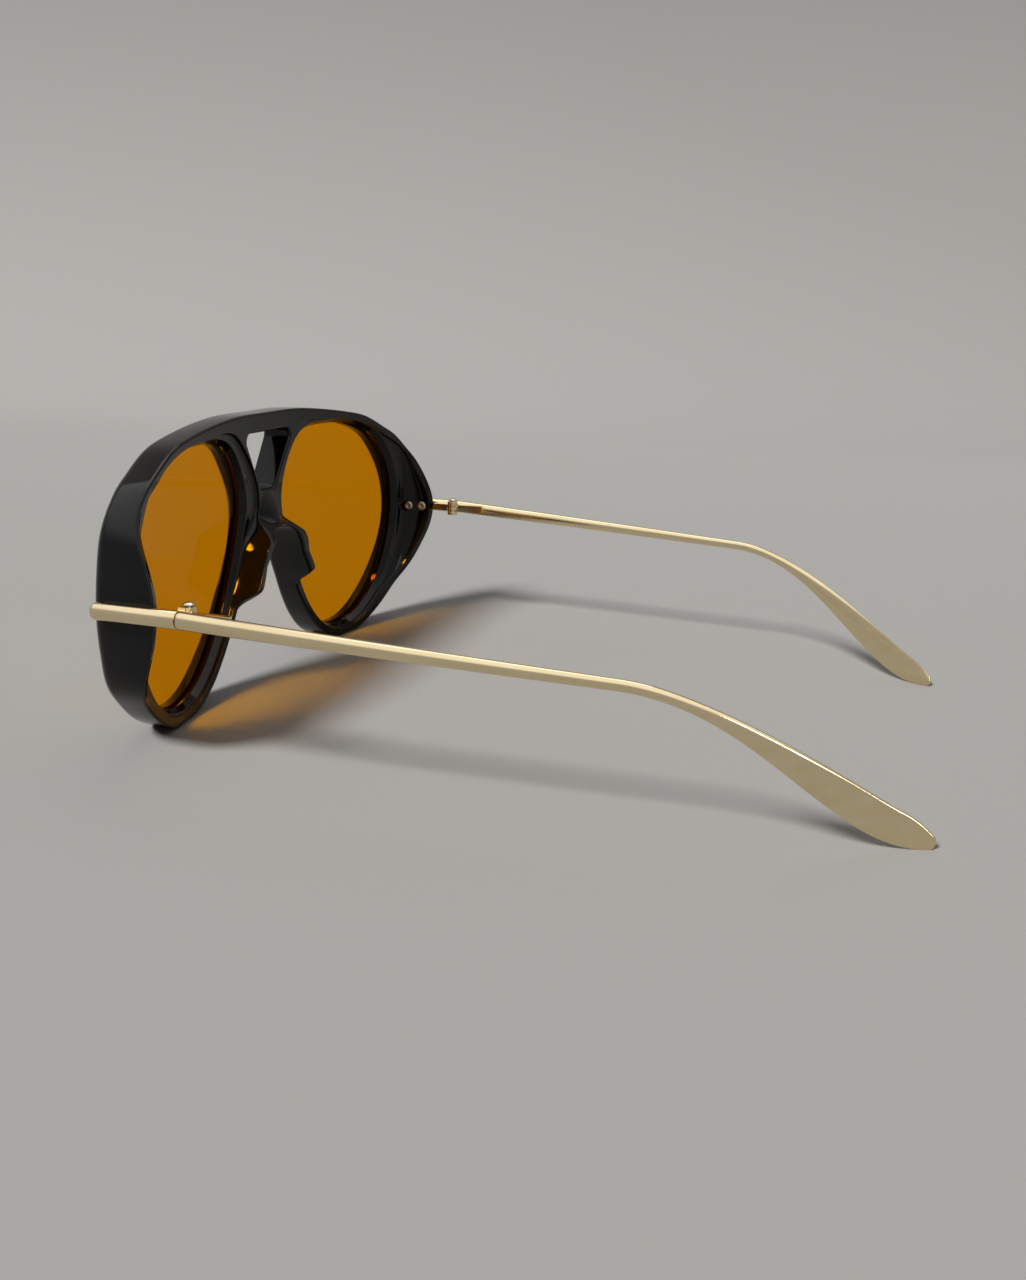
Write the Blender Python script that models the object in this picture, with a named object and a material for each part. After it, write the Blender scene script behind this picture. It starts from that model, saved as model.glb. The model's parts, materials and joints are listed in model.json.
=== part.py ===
"""Oversized aviator sunglasses: a deep black acetate front with moulded nose pads, two amber lenses held in
grooves, riveted gold endpieces, three-knuckle hinges and slim metal temples that end in flat paddle tips."""

import math

import bmesh
import bpy
import numpy as np

MM = 0.001

# Lens shape and how the two lenses stand beside each other, in millimetres.
LENS_WIDTH = 50.3
LENS_HEIGHT = 53.2
LENS_THICKNESS = 2.0
BRIDGE_WIDTH = 19.6
WRAP_RADIUS = 245.0
FRONT_LEAN = math.radians(2.3)

# Acetate around the lenses.
RIM_BROW = 3.1
RIM_BROW_END = 3.2
RIM_TEMPLE = 8.4
RIM_LOWER = 3.9
RIM_BOTTOM = 3.3
RIM_CHEEK = 2.9
RIM_NOSE = 3.7
RIM_STRUT = 5.3
RIM_WAIST = 7.2
RIM_WING_TOP = 7.6
RIM_WING_FOOT = 7.9
BROW_RISE = 5.1
BROW_DIP = 0.15
BROW_SHARE = 0.45
ARCH_HEIGHT = 35.6
ARCH_WIDTH = 10.0
ARCH_SHAPE = ((0.66, 0.42), (0.36, 0.08), (0.0, 0.0))
RIM_DEPTH = 7.6
WING_EXTRA = 5.2
PAD_EXTRA = 5.4
NOSE_THINNING = 1.3
LIP_WIDTH = 2.1
FRONT_ROUND = 2.0
REAR_ROUND = 0.6
PAD_ROUND = 0.9
REST_FLAT = 0.25

# Groove that holds each lens.
LENS_SETBACK = 2.9
GROOVE_DEPTH = 0.9
BEZEL_EDGE = 0.8
BEZEL_SLOPE_DEPTH = 1.4
BEZEL_SLOPE_TEMPLE = 4.2
BEZEL_SLOPE_NOSE = 1.6
LEDGE_BEHIND_LENS = 1.6
LEDGE_FLARE = 0.9
LEAST_COVE = 0.15
LEAST_BEZEL = 0.4
BEZEL_SHAPE = ((0.0, 1.0), (0.36, 0.36), (1.0, 0.0))
COVE_SHARES = (1.0, 0.62, 0.3, 0.1, 0.0)

# Directions from the lens centre, in degrees, where hills of the front start, reach their top and end:
# 0 points to the temple, 90 up and 180 to the nose.
WING_HILL = (2.0, 44.0, 34.0)
PAD_UPPER_HILL = (174.0, 10.0, 60.0)
PAD_LOWER_HILL = (196.0, 60.0, 14.0)
THIN_NOSE_HILL = (192.0, 76.0, 74.0)
TEMPLE_BEZEL_HILL = (0.0, 55.0, 50.0)
NOSE_BEZEL_HILL = (172.0, 36.0, 34.0)
OUTLINE_DIRECTIONS = (88, 70, 55, 42, 28, 14, 0, -14, -28, -42, -58, -75, -90, -105, -122, -140, -158)

# Three-cornered opening in the bridge.
KEYHOLE_TOP = 4.5
KEYHOLE_BASE = 43.9
KEYHOLE_TOP_WIDTH = 22.4
KEYHOLE_BASE_WIDTH = 6.0
KEYHOLE_CORNER = 1.7
KEYHOLE_ROUND = 1.3

# Metal endpieces, rivets and hinges.
CLEARANCE = 0.25
ROD_DIAMETER = 3.3
HINGE_HEIGHT = 31.2
ENDPIECE_OVERHANG = 6.2
ENDPIECE_NOSE = 1.0
ENDPIECE_FLAT = 0.35
ENDPIECE_DOME = 0.7
ENDPIECE_TIP = 0.3
RIVET_DIAMETER = 1.3
RIVET_HEAD_DIAMETER = 2.5
RIVET_HEAD_THICKNESS = 0.5
RIVET_CROWN = ((0.0, 0.6), (0.4, 0.93), (1.0, 1.0))
RIVET_SPACING = 3.6
RIVET_TO_WING_EDGE = 2.8
BARREL_DIAMETER = 2.8
BARREL_HEIGHT = 3.6
LEAF_LENGTH = 8.6
LEAF_HEIGHT = 1.8
KNUCKLE_HEIGHT = 1.1
SCREW_DIAMETER = 1.0
SCREW_HEAD_DIAMETER = 2.2
SCREW_HEAD_THICKNESS = 0.6
SCREW_SLOT = 0.35
SCREW_CROWN = ((0.0, 1.0), (0.5, 1.0), (1.0, 0.7))

# Temples.
TEMPLE_REACH = 130.0
TEMPLE_STRAIGHT = 78.5
TEMPLE_NECK_DIAMETER = 2.1
STRAIGHT_DROP = 3.7
STRAIGHT_INSET = 4.4
INSET_POWER = 1.35
BEND_HANDLE = 21.0
BEND_DIRECTION = (-0.02, 1.0, -0.045)
TIP_HANDLE = 14.0
TIP_SPLAY = 3.64
TIP_RISE = 3.5
TIP_INSET = 21.2
TIP_HEIGHT = 0.9
PADDLE_WIDTH = 6.3
PADDLE_THICKNESS = 1.2
PADDLE_LENGTH = 44.0
PADDLE_FLATNESS = 0.55
BELLY_LENGTH = 13.0
CROWN_LENGTH = 8.0
TIP_BLUNTNESS = 0.3

RIM_STEPS = 64
OUTER_STEPS = 84
ROD_SIDES = 14

for leftover in list(bpy.data.objects):
    bpy.data.objects.remove(leftover)


def material(name, colour, roughness, metallic, transmission=0.0):
    made = bpy.data.materials.new(name)
    made.use_nodes = True
    shader = made.node_tree.nodes["Principled BSDF"]
    shader.inputs["Base Color"].default_value = (*colour, 1.0)
    shader.inputs["Roughness"].default_value = roughness
    shader.inputs["Metallic"].default_value = metallic
    shader.inputs["Transmission Weight"].default_value = transmission
    return made


BLACK_ACETATE = material("black acetate", (0.008, 0.008, 0.010), 0.12, 0.0)
AMBER_LENS = material("amber lens", (0.80, 0.30, 0.01), 0.03, 0.0, 0.9)
PALE_GOLD = material("pale gold plate", (0.83, 0.70, 0.48), 0.18, 1.0)
STEEL = material("steel screw", (0.72, 0.66, 0.55), 0.30, 1.0)

root = bpy.data.objects.new("sunglasses", None)
bpy.context.scene.collection.objects.link(root)


def add_object(name, mesh, finish, parent=root, origin=(0.0, 0.0, 0.0), smooth=35.0):
    """Links a mesh given in millimetres, with its own origin at the given point of the assembly."""
    shift = np.array(origin)
    for vertex in mesh.vertices:
        vertex.co = [(value - base) * MM for value, base in zip(vertex.co, shift)]
    mesh.shade_smooth()
    mesh.set_sharp_from_angle(angle=math.radians(smooth))
    mesh.materials.append(finish)
    obj = bpy.data.objects.new(name, mesh)
    bpy.context.scene.collection.objects.link(obj)
    obj.parent = parent
    parent_place = np.array(parent.location) / MM if parent is not root else np.zeros(3)
    obj.location = [(value - base) * MM for value, base in zip(shift, parent_place)]
    return obj


def mesh_from(name, points, faces):
    mesh = bpy.data.meshes.new(name)
    mesh.from_pydata([tuple(map(float, point)) for point in points], [], faces)
    work = bmesh.new()
    work.from_mesh(mesh)
    bmesh.ops.recalc_face_normals(work, faces=work.faces)
    work.to_mesh(mesh)
    work.free()
    return mesh


def helper(name, mesh):
    """A cutter, in assembly millimetres, that only shapes other pieces."""
    obj = add_object(name, mesh, STEEL)
    obj.hide_render = True
    obj.display_type = "WIRE"
    obj.hide_set(True)
    return obj


def cut(target, cutter):
    boolean = target.modifiers.new("cut " + cutter.name, "BOOLEAN")
    boolean.operation = "DIFFERENCE"
    boolean.object = cutter
    boolean.solver = "EXACT"


def spline(points, steps):
    """Points spaced evenly along a closed centripetal Catmull-Rom curve through the given points."""
    points = np.array(points, float)
    knots = np.vstack([points[-1], points, points[0], points[1]])
    dense = []
    for a, b, c, d in zip(knots, knots[1:], knots[2:], knots[3:]):
        t1 = math.sqrt(np.linalg.norm(b - a))
        t2 = t1 + math.sqrt(np.linalg.norm(c - b))
        t3 = t2 + math.sqrt(np.linalg.norm(d - c))
        for t in np.linspace(t1, t2, 40, endpoint=False):
            ab = a + (b - a) * t / t1
            bc = b + (c - b) * (t - t1) / (t2 - t1)
            cd = c + (d - c) * (t - t2) / (t3 - t2)
            abc = ab + (bc - ab) * t / t2
            bcd = bc + (cd - bc) * (t - t1) / (t3 - t1)
            dense.append(abc + (bcd - abc) * (t - t1) / (t2 - t1))
    dense = np.array(dense + dense[:1])
    run = np.concatenate([[0.0], np.cumsum(np.linalg.norm(np.diff(dense, axis=0), axis=1))])
    at = np.linspace(0.0, run[-1], steps, endpoint=False)
    return np.column_stack([np.interp(at, run, dense[:, axis]) for axis in range(2)])


def outward(loop):
    """Unit normals of a closed counter-clockwise loop, pointing away from its inside."""
    along = np.roll(loop, -1, axis=0) - np.roll(loop, 1, axis=0)
    normal = np.column_stack([along[:, 1], -along[:, 0]])
    return normal / np.linalg.norm(normal, axis=1)[:, None]


# Front seen from the wearer's face: x to the wearer's left, z up, floor at zero.
LENS_SHAPE = (
    (1.000, 0.550), (0.960, 0.740), (0.830, 0.900), (0.640, 0.975), (0.400, 1.000), (0.160, 0.975),
    (0.056, 0.885), (-0.010, 0.730), (0.016, 0.580), (0.110, 0.360), (0.236, 0.168), (0.390, 0.040),
    (0.540, 0.000), (0.690, 0.020), (0.845, 0.120), (0.960, 0.310),
)
LENS_LEFT = BRIDGE_WIDTH / 2
LENS_CENTRE = np.array([LENS_LEFT + LENS_WIDTH / 2, RIM_BOTTOM + LENS_HEIGHT / 2])
lens_knots = [(LENS_LEFT + u * LENS_WIDTH, RIM_BOTTOM + v * LENS_HEIGHT) for u, v in LENS_SHAPE]
eye = spline(lens_knots, RIM_STEPS)
eye_normal = outward(eye)
fine_eye = spline(lens_knots, 12 * RIM_STEPS)
fine_normal = outward(fine_eye)


def turn(x, z):
    """Direction from the lens centre in degrees, 0 towards the temple, 90 up and 180 towards the nose."""
    return np.degrees(np.arctan2(z - LENS_CENTRE[1], np.abs(x) - LENS_CENTRE[0])) % 360.0


RIM_STATIONS = (
    (0.0, RIM_TEMPLE), (28.0, RIM_WING_TOP), (55.0, RIM_BROW_END), (75.0, RIM_BROW), (105.0, RIM_BROW),
    (130.0, RIM_STRUT), (156.0, RIM_WAIST), (178.0, RIM_NOSE), (215.0, RIM_CHEEK), (245.0, RIM_CHEEK),
    (272.0, RIM_BOTTOM), (305.0, RIM_LOWER), (335.0, RIM_WING_FOOT), (360.0, RIM_TEMPLE),
)


def rim_width(angle):
    """Acetate between lens edge and outline, eased from station to station."""
    stations = np.array(RIM_STATIONS)
    index = np.clip(np.searchsorted(stations[:, 0], angle, side="right") - 1, 0, len(stations) - 2)
    span = stations[index + 1, 0] - stations[index, 0]
    share = (angle - stations[index, 0]) / span
    ease = share * share * (3 - 2 * share)
    return stations[index, 1] * (1 - ease) + stations[index + 1, 1] * ease


def bump(angle, centre, before, after):
    """Smooth hill over the direction, one at its centre and zero past its two half-widths."""
    away = (angle - centre + 180.0) % 360.0 - 180.0
    share = np.where(away < 0, away / before, away / after)
    return np.where(np.abs(share) < 1, np.cos(share * math.pi / 2) ** 2, 0.0)


def pad_hill(x, z):
    """Rises with the pad's upper hill and falls with its lower one."""
    angle = turn(x, z)
    pad_middle = (PAD_UPPER_HILL[0] + PAD_LOWER_HILL[0]) / 2
    return np.where(angle < pad_middle, bump(angle, *PAD_UPPER_HILL), bump(angle, *PAD_LOWER_HILL))


def depth(x, z):
    """Thickness of the front from its face to its rear edge: deeper at the wings and at the nose pads."""
    return RIM_DEPTH + WING_EXTRA * bump(turn(x, z), *WING_HILL) + PAD_EXTRA * pad_hill(x, z)


def set_back(x, z):
    """How far the front face is milled back round the nose, where the acetate is thinner."""
    return NOSE_THINNING * bump(turn(x, z), *THIN_NOSE_HILL)


TOP = RIM_BOTTOM + LENS_HEIGHT + BROW_RISE


def face_y(x, z):
    """Front face: wrapped round the head and leaning."""
    return x * x / (2 * WRAP_RADIUS) - math.tan(FRONT_LEAN) * (TOP - z)


def rim_point(angle):
    """Outline of the rim at a direction from the lens centre."""
    place = np.argmin(np.abs((turn(fine_eye[:, 0], fine_eye[:, 1]) - angle + 180.0) % 360.0 - 180.0))
    return fine_eye[place] + fine_normal[place] * rim_width(turn(*fine_eye[place]))


def outer_outline():
    """Half outline from brow to nose arch by way of the temple, then mirrored to close the front."""
    rim = [rim_point(angle) for angle in OUTLINE_DIRECTIONS]
    brow = [(0.0, TOP), (BROW_SHARE * LENS_CENTRE[0], TOP - BROW_DIP)]
    arch = [(across * ARCH_WIDTH, ARCH_HEIGHT - fall * ARCH_WIDTH) for across, fall in ARCH_SHAPE]
    half = np.array(brow + rim + arch)
    whole = np.vstack([half, (half * [-1, 1])[-2:0:-1]])
    loop = spline(whole, 2 * OUTER_STEPS)[::-1]
    loop[:, 1] = np.maximum(loop[:, 1] - REST_FLAT, 0.0)
    return loop


def keyhole_outline():
    """Rounded triangle under the brow bar, point down."""
    top = TOP - KEYHOLE_TOP
    corners = [(-KEYHOLE_TOP_WIDTH / 2, top), (-KEYHOLE_BASE_WIDTH / 2, KEYHOLE_BASE),
               (KEYHOLE_BASE_WIDTH / 2, KEYHOLE_BASE), (KEYHOLE_TOP_WIDTH / 2, top)]
    points = []
    for before, corner, after in zip(corners[-1:] + corners, corners, corners[1:] + corners[:1]):
        here = np.array(corner)
        back = np.array(before) - here
        ahead = np.array(after) - here
        back = back / np.linalg.norm(back)
        ahead = ahead / np.linalg.norm(ahead)
        half_angle = math.acos(np.clip(np.dot(back, ahead), -1, 1)) / 2
        reach = KEYHOLE_CORNER / math.tan(half_angle)
        centre = here + (back + ahead) / np.linalg.norm(back + ahead) * KEYHOLE_CORNER / math.sin(half_angle)
        start = here + back * reach - centre
        end = here + ahead * reach - centre
        sweep = math.atan2(start[0] * end[1] - start[1] * end[0], np.dot(start, end))
        for share in np.linspace(0.0, 1.0, 6):
            c, s = math.cos(sweep * share), math.sin(sweep * share)
            points.append(centre + [c * start[0] - s * start[1], s * start[0] + c * start[1]])
    return np.array(points)


def lifted(loop, share_of_depth, extra):
    """Loop of the front view set at a share of the local depth plus a distance behind the face."""
    x, z = loop[:, 0], loop[:, 1]
    y = face_y(x, z) + depth(x, z) * share_of_depth + extra
    return np.column_stack([x, y, z])


def edge_rings(loop, normal, inside, front_round, rear_round):
    """Wall of an outline from the rear face to the front face, rounded at both edges.
    inside is -1 where the acetate lies inside the loop and 1 where it lies outside."""
    rings = []
    for angle in (0.0, 45.0, 90.0):
        turn_in = inside * rear_round * (1 - math.sin(math.radians(angle)))
        back = -rear_round * (1 - math.cos(math.radians(angle)))
        moved = loop + normal * np.reshape(turn_in, (-1, 1))
        rings.append((moved, 1.0, back))
    for angle in (90.0, 60.0, 30.0, 0.0):
        turn_in = inside * front_round * (1 - math.sin(math.radians(angle)))
        ahead = front_round * (1 - math.cos(math.radians(angle)))
        moved = loop + normal * np.reshape(turn_in, (-1, 1))
        rings.append((moved, 0.0, ahead + set_back(moved[:, 0], moved[:, 1])))
    return [lifted(ring, share, extra) for ring, share, extra in rings]


def lip_offset(points):
    """How far the rear lip's inner edge stands outside the lens edge."""
    return np.maximum(rim_width(turn(points[:, 0], points[:, 1])) - LIP_WIDTH, LEDGE_FLARE + LEAST_COVE)


LENS_BACK = LENS_SETBACK + LENS_THICKNESS
LEDGE = LENS_BACK + LEDGE_BEHIND_LENS


def eye_section(points, normal):
    """Rings round a lens opening from the rear lip through the cove and the groove to the front face."""
    lip = lip_offset(points)
    rings = []
    for share in COVE_SHARES:
        side = (1 - (1 - share) ** 3) ** (1 / 3)
        moved = points + normal * (LEDGE_FLARE + (lip - LEDGE_FLARE) * side)[:, None]
        edge = points + normal * lip[:, None]
        far = depth(edge[:, 0], edge[:, 1])
        y = face_y(moved[:, 0], moved[:, 1]) + LEDGE + (far - LEDGE) * share
        rings.append(np.column_stack([moved[:, 0], y, moved[:, 1]]))
    groove_back = LENS_BACK + CLEARANCE
    groove_front = LENS_SETBACK - CLEARANCE
    for offset, back in ((0.0, groove_back), (GROOVE_DEPTH, groove_back), (GROOVE_DEPTH, groove_front),
                         (0.0, groove_front)):
        rings.append(lifted(points + normal * offset, 0.0, back))
    angle = turn(points[:, 0], points[:, 1])
    temple_slope = bump(angle, *TEMPLE_BEZEL_HILL)
    nose_slope = bump(angle, *NOSE_BEZEL_HILL)
    wide = BEZEL_EDGE + BEZEL_SLOPE_TEMPLE * temple_slope + BEZEL_SLOPE_NOSE * nose_slope
    near = set_back(points[:, 0], points[:, 1])
    deep = near + BEZEL_EDGE + BEZEL_SLOPE_DEPTH * np.maximum(temple_slope, nose_slope)
    deep = np.minimum(deep, groove_front - LEAST_BEZEL)
    for out, back in BEZEL_SHAPE:
        rings.append(lifted(points + normal * (wide * out)[:, None], 0.0, near + (deep - near) * back))
    return rings


def front_mesh():
    outer = outer_outline()
    outer_normal = outward(outer)
    rear_round = REAR_ROUND + (PAD_ROUND - REAR_ROUND) * pad_hill(outer[:, 0], outer[:, 1])
    rear_round = np.where(np.abs(outer[:, 0]) < LENS_CENTRE[0], rear_round, REAR_ROUND)
    keyhole = keyhole_outline()
    mirrored = eye[::-1] * [-1, 1]
    mirrored_normal = eye_normal[::-1] * [-1, 1]
    walls = [
        edge_rings(outer, outer_normal, -1, FRONT_ROUND, rear_round),
        eye_section(eye, eye_normal),
        eye_section(mirrored, mirrored_normal),
        edge_rings(keyhole, outward(keyhole), 1, KEYHOLE_ROUND, REAR_ROUND),
    ]
    work = bmesh.new()
    rear_edges = []
    front_edges = []
    flat = {}
    for rings in walls:
        rows = []
        for ring in rings:
            rows.append([work.verts.new((x, 0.0, z)) for x, y, z in ring])
            flat.update({vertex: y for vertex, (x, y, z) in zip(rows[-1], ring)})
        count = len(rows[0])
        for near, far in zip(rows, rows[1:]):
            for i in range(count):
                j = (i + 1) % count
                work.faces.new((near[i], near[j], far[j], far[i]))
        for row, edges in ((rows[0], rear_edges), (rows[-1], front_edges)):
            edges += [work.edges.get((row[i], row[(i + 1) % count])) for i in range(count)]
    for edges in (rear_edges, front_edges):
        bmesh.ops.triangle_fill(work, edges=edges, use_beauty=True)
    for vertex, y in flat.items():
        vertex.co.y = y
    bmesh.ops.recalc_face_normals(work, faces=work.faces)
    mesh = bpy.data.meshes.new("front_frame")
    work.to_mesh(mesh)
    work.free()
    return mesh


def lens_mesh(name, side):
    """Tinted plate that follows the wrap of the front, with its edge standing in the groove."""
    edge = eye + eye_normal * (GROOVE_DEPTH - CLEARANCE)
    points = []
    faces = []
    count = len(edge)
    for back in (LENS_SETBACK, LENS_BACK):
        for share in (1.0, 0.68, 0.34):
            ring = LENS_CENTRE + (edge - LENS_CENTRE) * share
            points += [(side * x, face_y(x, z) + back, z) for x, z in ring]
        points.append((side * LENS_CENTRE[0], face_y(*LENS_CENTRE) + back, LENS_CENTRE[1]))
    layer = 3 * count + 1
    for i in range(count):
        j = (i + 1) % count
        faces.append((i, j, layer + j, layer + i))
        for start in (0, layer):
            for ring in range(2):
                a = start + ring * count
                faces.append((a + i, a + j, a + count + j, a + count + i))
            faces.append((start + 2 * count + i, start + 2 * count + j, start + 3 * count))
    return mesh_from(name, points, faces)


def tube(name, rings):
    """Closed body through rings of equal count, with a flat cap at each end."""
    count = len(rings[0])
    points = [point for ring in rings for point in ring]
    faces = [tuple(range(count)), tuple(range((len(rings) - 1) * count, len(rings) * count))]
    for row in range(len(rings) - 1):
        for i in range(count):
            j = (i + 1) % count
            faces.append((row * count + i, row * count + j, (row + 1) * count + j, (row + 1) * count + i))
    return mesh_from(name, points, faces)


def turned(name, profile, origin, along, sides=ROD_SIDES):
    """Body of revolution from (distance, radius) pairs along an axis x, y or z."""
    axis = "xyz".index(along)
    rings = []
    for distance, radius in profile:
        ring = []
        for i in range(sides):
            angle = 2 * math.pi * (i + 0.5) / sides
            point = [0.0, 0.0, 0.0]
            point[axis] = distance
            point[(axis + 1) % 3] = radius * math.cos(angle)
            point[(axis + 2) % 3] = radius * math.sin(angle)
            ring.append([a + b for a, b in zip(point, origin)])
        rings.append(ring)
    return tube(name, rings)


def box(name, low, high):
    rings = [[(low[0], y, low[2]), (high[0], y, low[2]), (high[0], y, high[2]), (low[0], y, high[2])]
             for y in (low[1], high[1])]
    return tube(name, rings)


# Places shared by the wing, the endpiece, the hinge and the temple.
ROD_RADIUS = ROD_DIAMETER / 2
BARREL_RADIUS = BARREL_DIAMETER / 2
outline = outer_outline()
wing_side = outline[outline[:, 0] > LENS_CENTRE[0] + LENS_WIDTH / 2]
beside_hinge = np.argsort(np.abs(wing_side[:, 1] - HINGE_HEIGHT))[:2]
WING_X = float(wing_side[beside_hinge, 0].max())
WING_FACE = float(face_y(WING_X, HINGE_HEIGHT))
WING_REAR = WING_FACE + float(depth(WING_X, HINGE_HEIGHT))
ROD_X = WING_X + CLEARANCE + ROD_RADIUS - ENDPIECE_FLAT
AXIS_X = ROD_X - ROD_RADIUS - CLEARANCE - BARREL_RADIUS
SEAM_Y = WING_REAR + ENDPIECE_OVERHANG
BARREL_LOW = HINGE_HEIGHT - BARREL_HEIGHT / 2
BARREL_TOP = HINGE_HEIGHT + BARREL_HEIGHT / 2
off_hinge = (turn(eye[:, 0], eye[:, 1]) - turn(WING_X, HINGE_HEIGHT) + 180.0) % 360.0 - 180.0
temple_edge = int(np.argmin(np.abs(off_hinge)))
RIVET_YS = {"rear": WING_REAR - RIVET_TO_WING_EDGE, "front": WING_REAR - RIVET_TO_WING_EDGE - RIVET_SPACING}


def wing_inner_x(y):
    """Inner wall of the wing at hinge height, a distance along y."""
    edge_x = eye[temple_edge, 0]
    lip = lip_offset(eye[temple_edge : temple_edge + 1])[0]
    ledge_y = float(face_y(edge_x, HINGE_HEIGHT)) + LEDGE
    share = np.clip((y - ledge_y) / (WING_REAR - ledge_y), 0.0, 1.0)
    return float(edge_x + LEDGE_FLARE + (lip - LEDGE_FLARE) * (1 - (1 - share) ** 3) ** (1 / 3))


def temple_path(s):
    """Centre line of the left temple at 0 (seam) to 1 (tip): a long straight run, then one falling curve."""
    start = np.array([ROD_X, SEAM_Y + CLEARANCE / 2, HINGE_HEIGHT])
    bend = np.array([ROD_X - STRAIGHT_INSET, SEAM_Y + TEMPLE_STRAIGHT, HINGE_HEIGHT - STRAIGHT_DROP])
    tip = np.array([ROD_X - TIP_INSET, SEAM_Y + TEMPLE_REACH, TIP_HEIGHT])
    bend_share = TEMPLE_STRAIGHT / TEMPLE_REACH
    if s < bend_share:
        t = s / bend_share
        point = start + (bend - start) * t
        point[0] = ROD_X - STRAIGHT_INSET * t**INSET_POWER
        return point
    t = (s - bend_share) / (1 - bend_share)
    first = bend + np.array(BEND_DIRECTION) * BEND_HANDLE
    last = tip + np.array([TIP_SPLAY, -TIP_HANDLE, TIP_RISE])
    return bend * (1 - t) ** 3 + 3 * first * t * (1 - t) ** 2 + 3 * last * t * t * (1 - t) + tip * t**3


def temple_radius(s):
    share = min(s * TEMPLE_REACH / TEMPLE_STRAIGHT, 1.0)
    return ROD_RADIUS + (TEMPLE_NECK_DIAMETER / 2 - ROD_RADIUS) * share


def temple_section(s):
    """Half thickness, half height above and below the centre line, and squareness of the temple at 0 to 1."""
    to_tip = (1 - s) * TEMPLE_REACH
    spread = np.clip(1 - (to_tip - BELLY_LENGTH) / (PADDLE_LENGTH - BELLY_LENGTH), 0.0, 1.0)
    spread = spread * spread * (3 - 2 * spread)
    radius = temple_radius(s)
    tall = radius + (PADDLE_WIDTH / 2 - radius) * spread
    thick = radius + (PADDLE_THICKNESS / 2 - radius) * spread
    crown = 1 - (1 - TIP_BLUNTNESS) * max(1 - to_tip / CROWN_LENGTH, 0.0) ** 2
    belly = 1 - (1 - TIP_BLUNTNESS) * max(1 - to_tip / BELLY_LENGTH, 0.0) ** 2
    return thick, tall * crown, tall * belly, PADDLE_FLATNESS * spread


def temple_mesh(name, side):
    """Round rod that tapers to a neck, then flattens into a blade with a straight back and a round belly."""
    bend_share = TEMPLE_STRAIGHT / TEMPLE_REACH
    stations = np.concatenate([np.linspace(0, bend_share, 9), np.linspace(bend_share, 1.0, 27)[1:]])
    rings = []
    for s in stations:
        here = temple_path(s)
        ahead = temple_path(min(s + 0.002, 1.0)) - temple_path(max(s - 0.002, 0.0))
        ahead = ahead / np.linalg.norm(ahead)
        if s == 0:
            ahead = np.array([0.0, 1.0, 0.0])
        up = np.array([0.0, 0.0, 1.0]) - ahead[2] * ahead
        up = up / np.linalg.norm(up)
        across = np.cross(ahead, up)
        thick, above, below, flat = temple_section(s)
        ring = []
        for i in range(ROD_SIDES):
            angle = 2 * math.pi * (i + 0.5) / ROD_SIDES
            c = math.copysign(abs(math.cos(angle)) ** (1 - flat), math.cos(angle))
            v = math.copysign(abs(math.sin(angle)) ** (1 - flat), math.sin(angle))
            point = here + across * thick * c + up * (above if v > 0 else below) * v
            ring.append((side * point[0], point[1], max(point[2], 0.0)))
        rings.append(ring)
    return tube(name, rings)


def hinge_outline(side, direction, length, end_reach):
    """Leaf with a round barrel end, seen from above; direction is -1 for a leaf that runs forwards."""
    outline_points = [(length, end_reach)]
    for angle in np.linspace(math.pi / 2, 2 * math.pi, 19):
        outline_points.append((BARREL_RADIUS * math.cos(angle), BARREL_RADIUS * math.sin(angle)))
    outline_points.append((length, 0.0))
    return [(side * (AXIS_X + out), SEAM_Y + direction * along) for along, out in outline_points]


def hinge_leaf(name, outline_points, low, high):
    return tube(name, [[(x, y, z) for x, y in outline_points] for z in (low, high)])


def barrel_cutter(name, side, radius, low, high):
    return helper(name, turned(name, ((low, radius), (high, radius)), (side * AXIS_X, SEAM_Y, 0.0), "z", 24))


def add_rivet(side_name, side, place, y):
    """Peened rivet through the wing, its head in a flat spot-faced into the wing's inner wall."""
    seat = wing_inner_x(y)
    shank = RIVET_DIAMETER / 2
    head = RIVET_HEAD_DIAMETER / 2
    under_head = seat - CLEARANCE
    crown = under_head - RIVET_HEAD_THICKNESS
    profile = [(crown + fall * RIVET_HEAD_THICKNESS, share * head) for fall, share in RIVET_CROWN]
    profile += [(under_head, shank), (WING_X, shank)]
    drill = ((seat - RIM_TEMPLE / 2, head + CLEARANCE), (seat, head + CLEARANCE), (seat, shank + CLEARANCE),
             (WING_X + RIM_TEMPLE / 2, shank + CLEARANCE))
    name = f"rivet_{side_name}_{place}"
    mirrored = [[(side * x, r) for x, r in rows] for rows in (profile, drill)]
    add_object(name, turned(name, mirrored[0], (0.0, y, HINGE_HEIGHT), "x"), PALE_GOLD)
    cut(front, helper(name + "_drill", turned(name + "_drill", mirrored[1], (0.0, y, HINGE_HEIGHT), "x")))


def add_endpiece(side_name, side):
    """Rod end that lies on the wing's outer face by a narrow flat and reaches back to the hinge seam."""
    start = WING_FACE + ENDPIECE_NOSE
    name = "endpiece_" + side_name
    dome = ENDPIECE_DOME * ROD_RADIUS
    profile = [(start + dome * (1 - math.cos(angle)), ROD_RADIUS * max(math.sin(angle), ENDPIECE_TIP))
               for angle in np.linspace(0.0, math.pi / 2, 6)]
    profile.append((SEAM_Y - CLEARANCE / 2, ROD_RADIUS))
    rod = add_object(name, turned(name, profile, (side * ROD_X, 0.0, HINGE_HEIGHT), "y", 20), PALE_GOLD)
    sides = sorted((side * (WING_X - ROD_RADIUS), side * (WING_X + CLEARANCE)))
    flat = box(name + "_flat", (sides[0], start - ROD_RADIUS, HINGE_HEIGHT - ROD_DIAMETER),
               (sides[1], WING_REAR + 2 * CLEARANCE, HINGE_HEIGHT + ROD_DIAMETER))
    cut(rod, helper(name + "_flat", flat))


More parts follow.
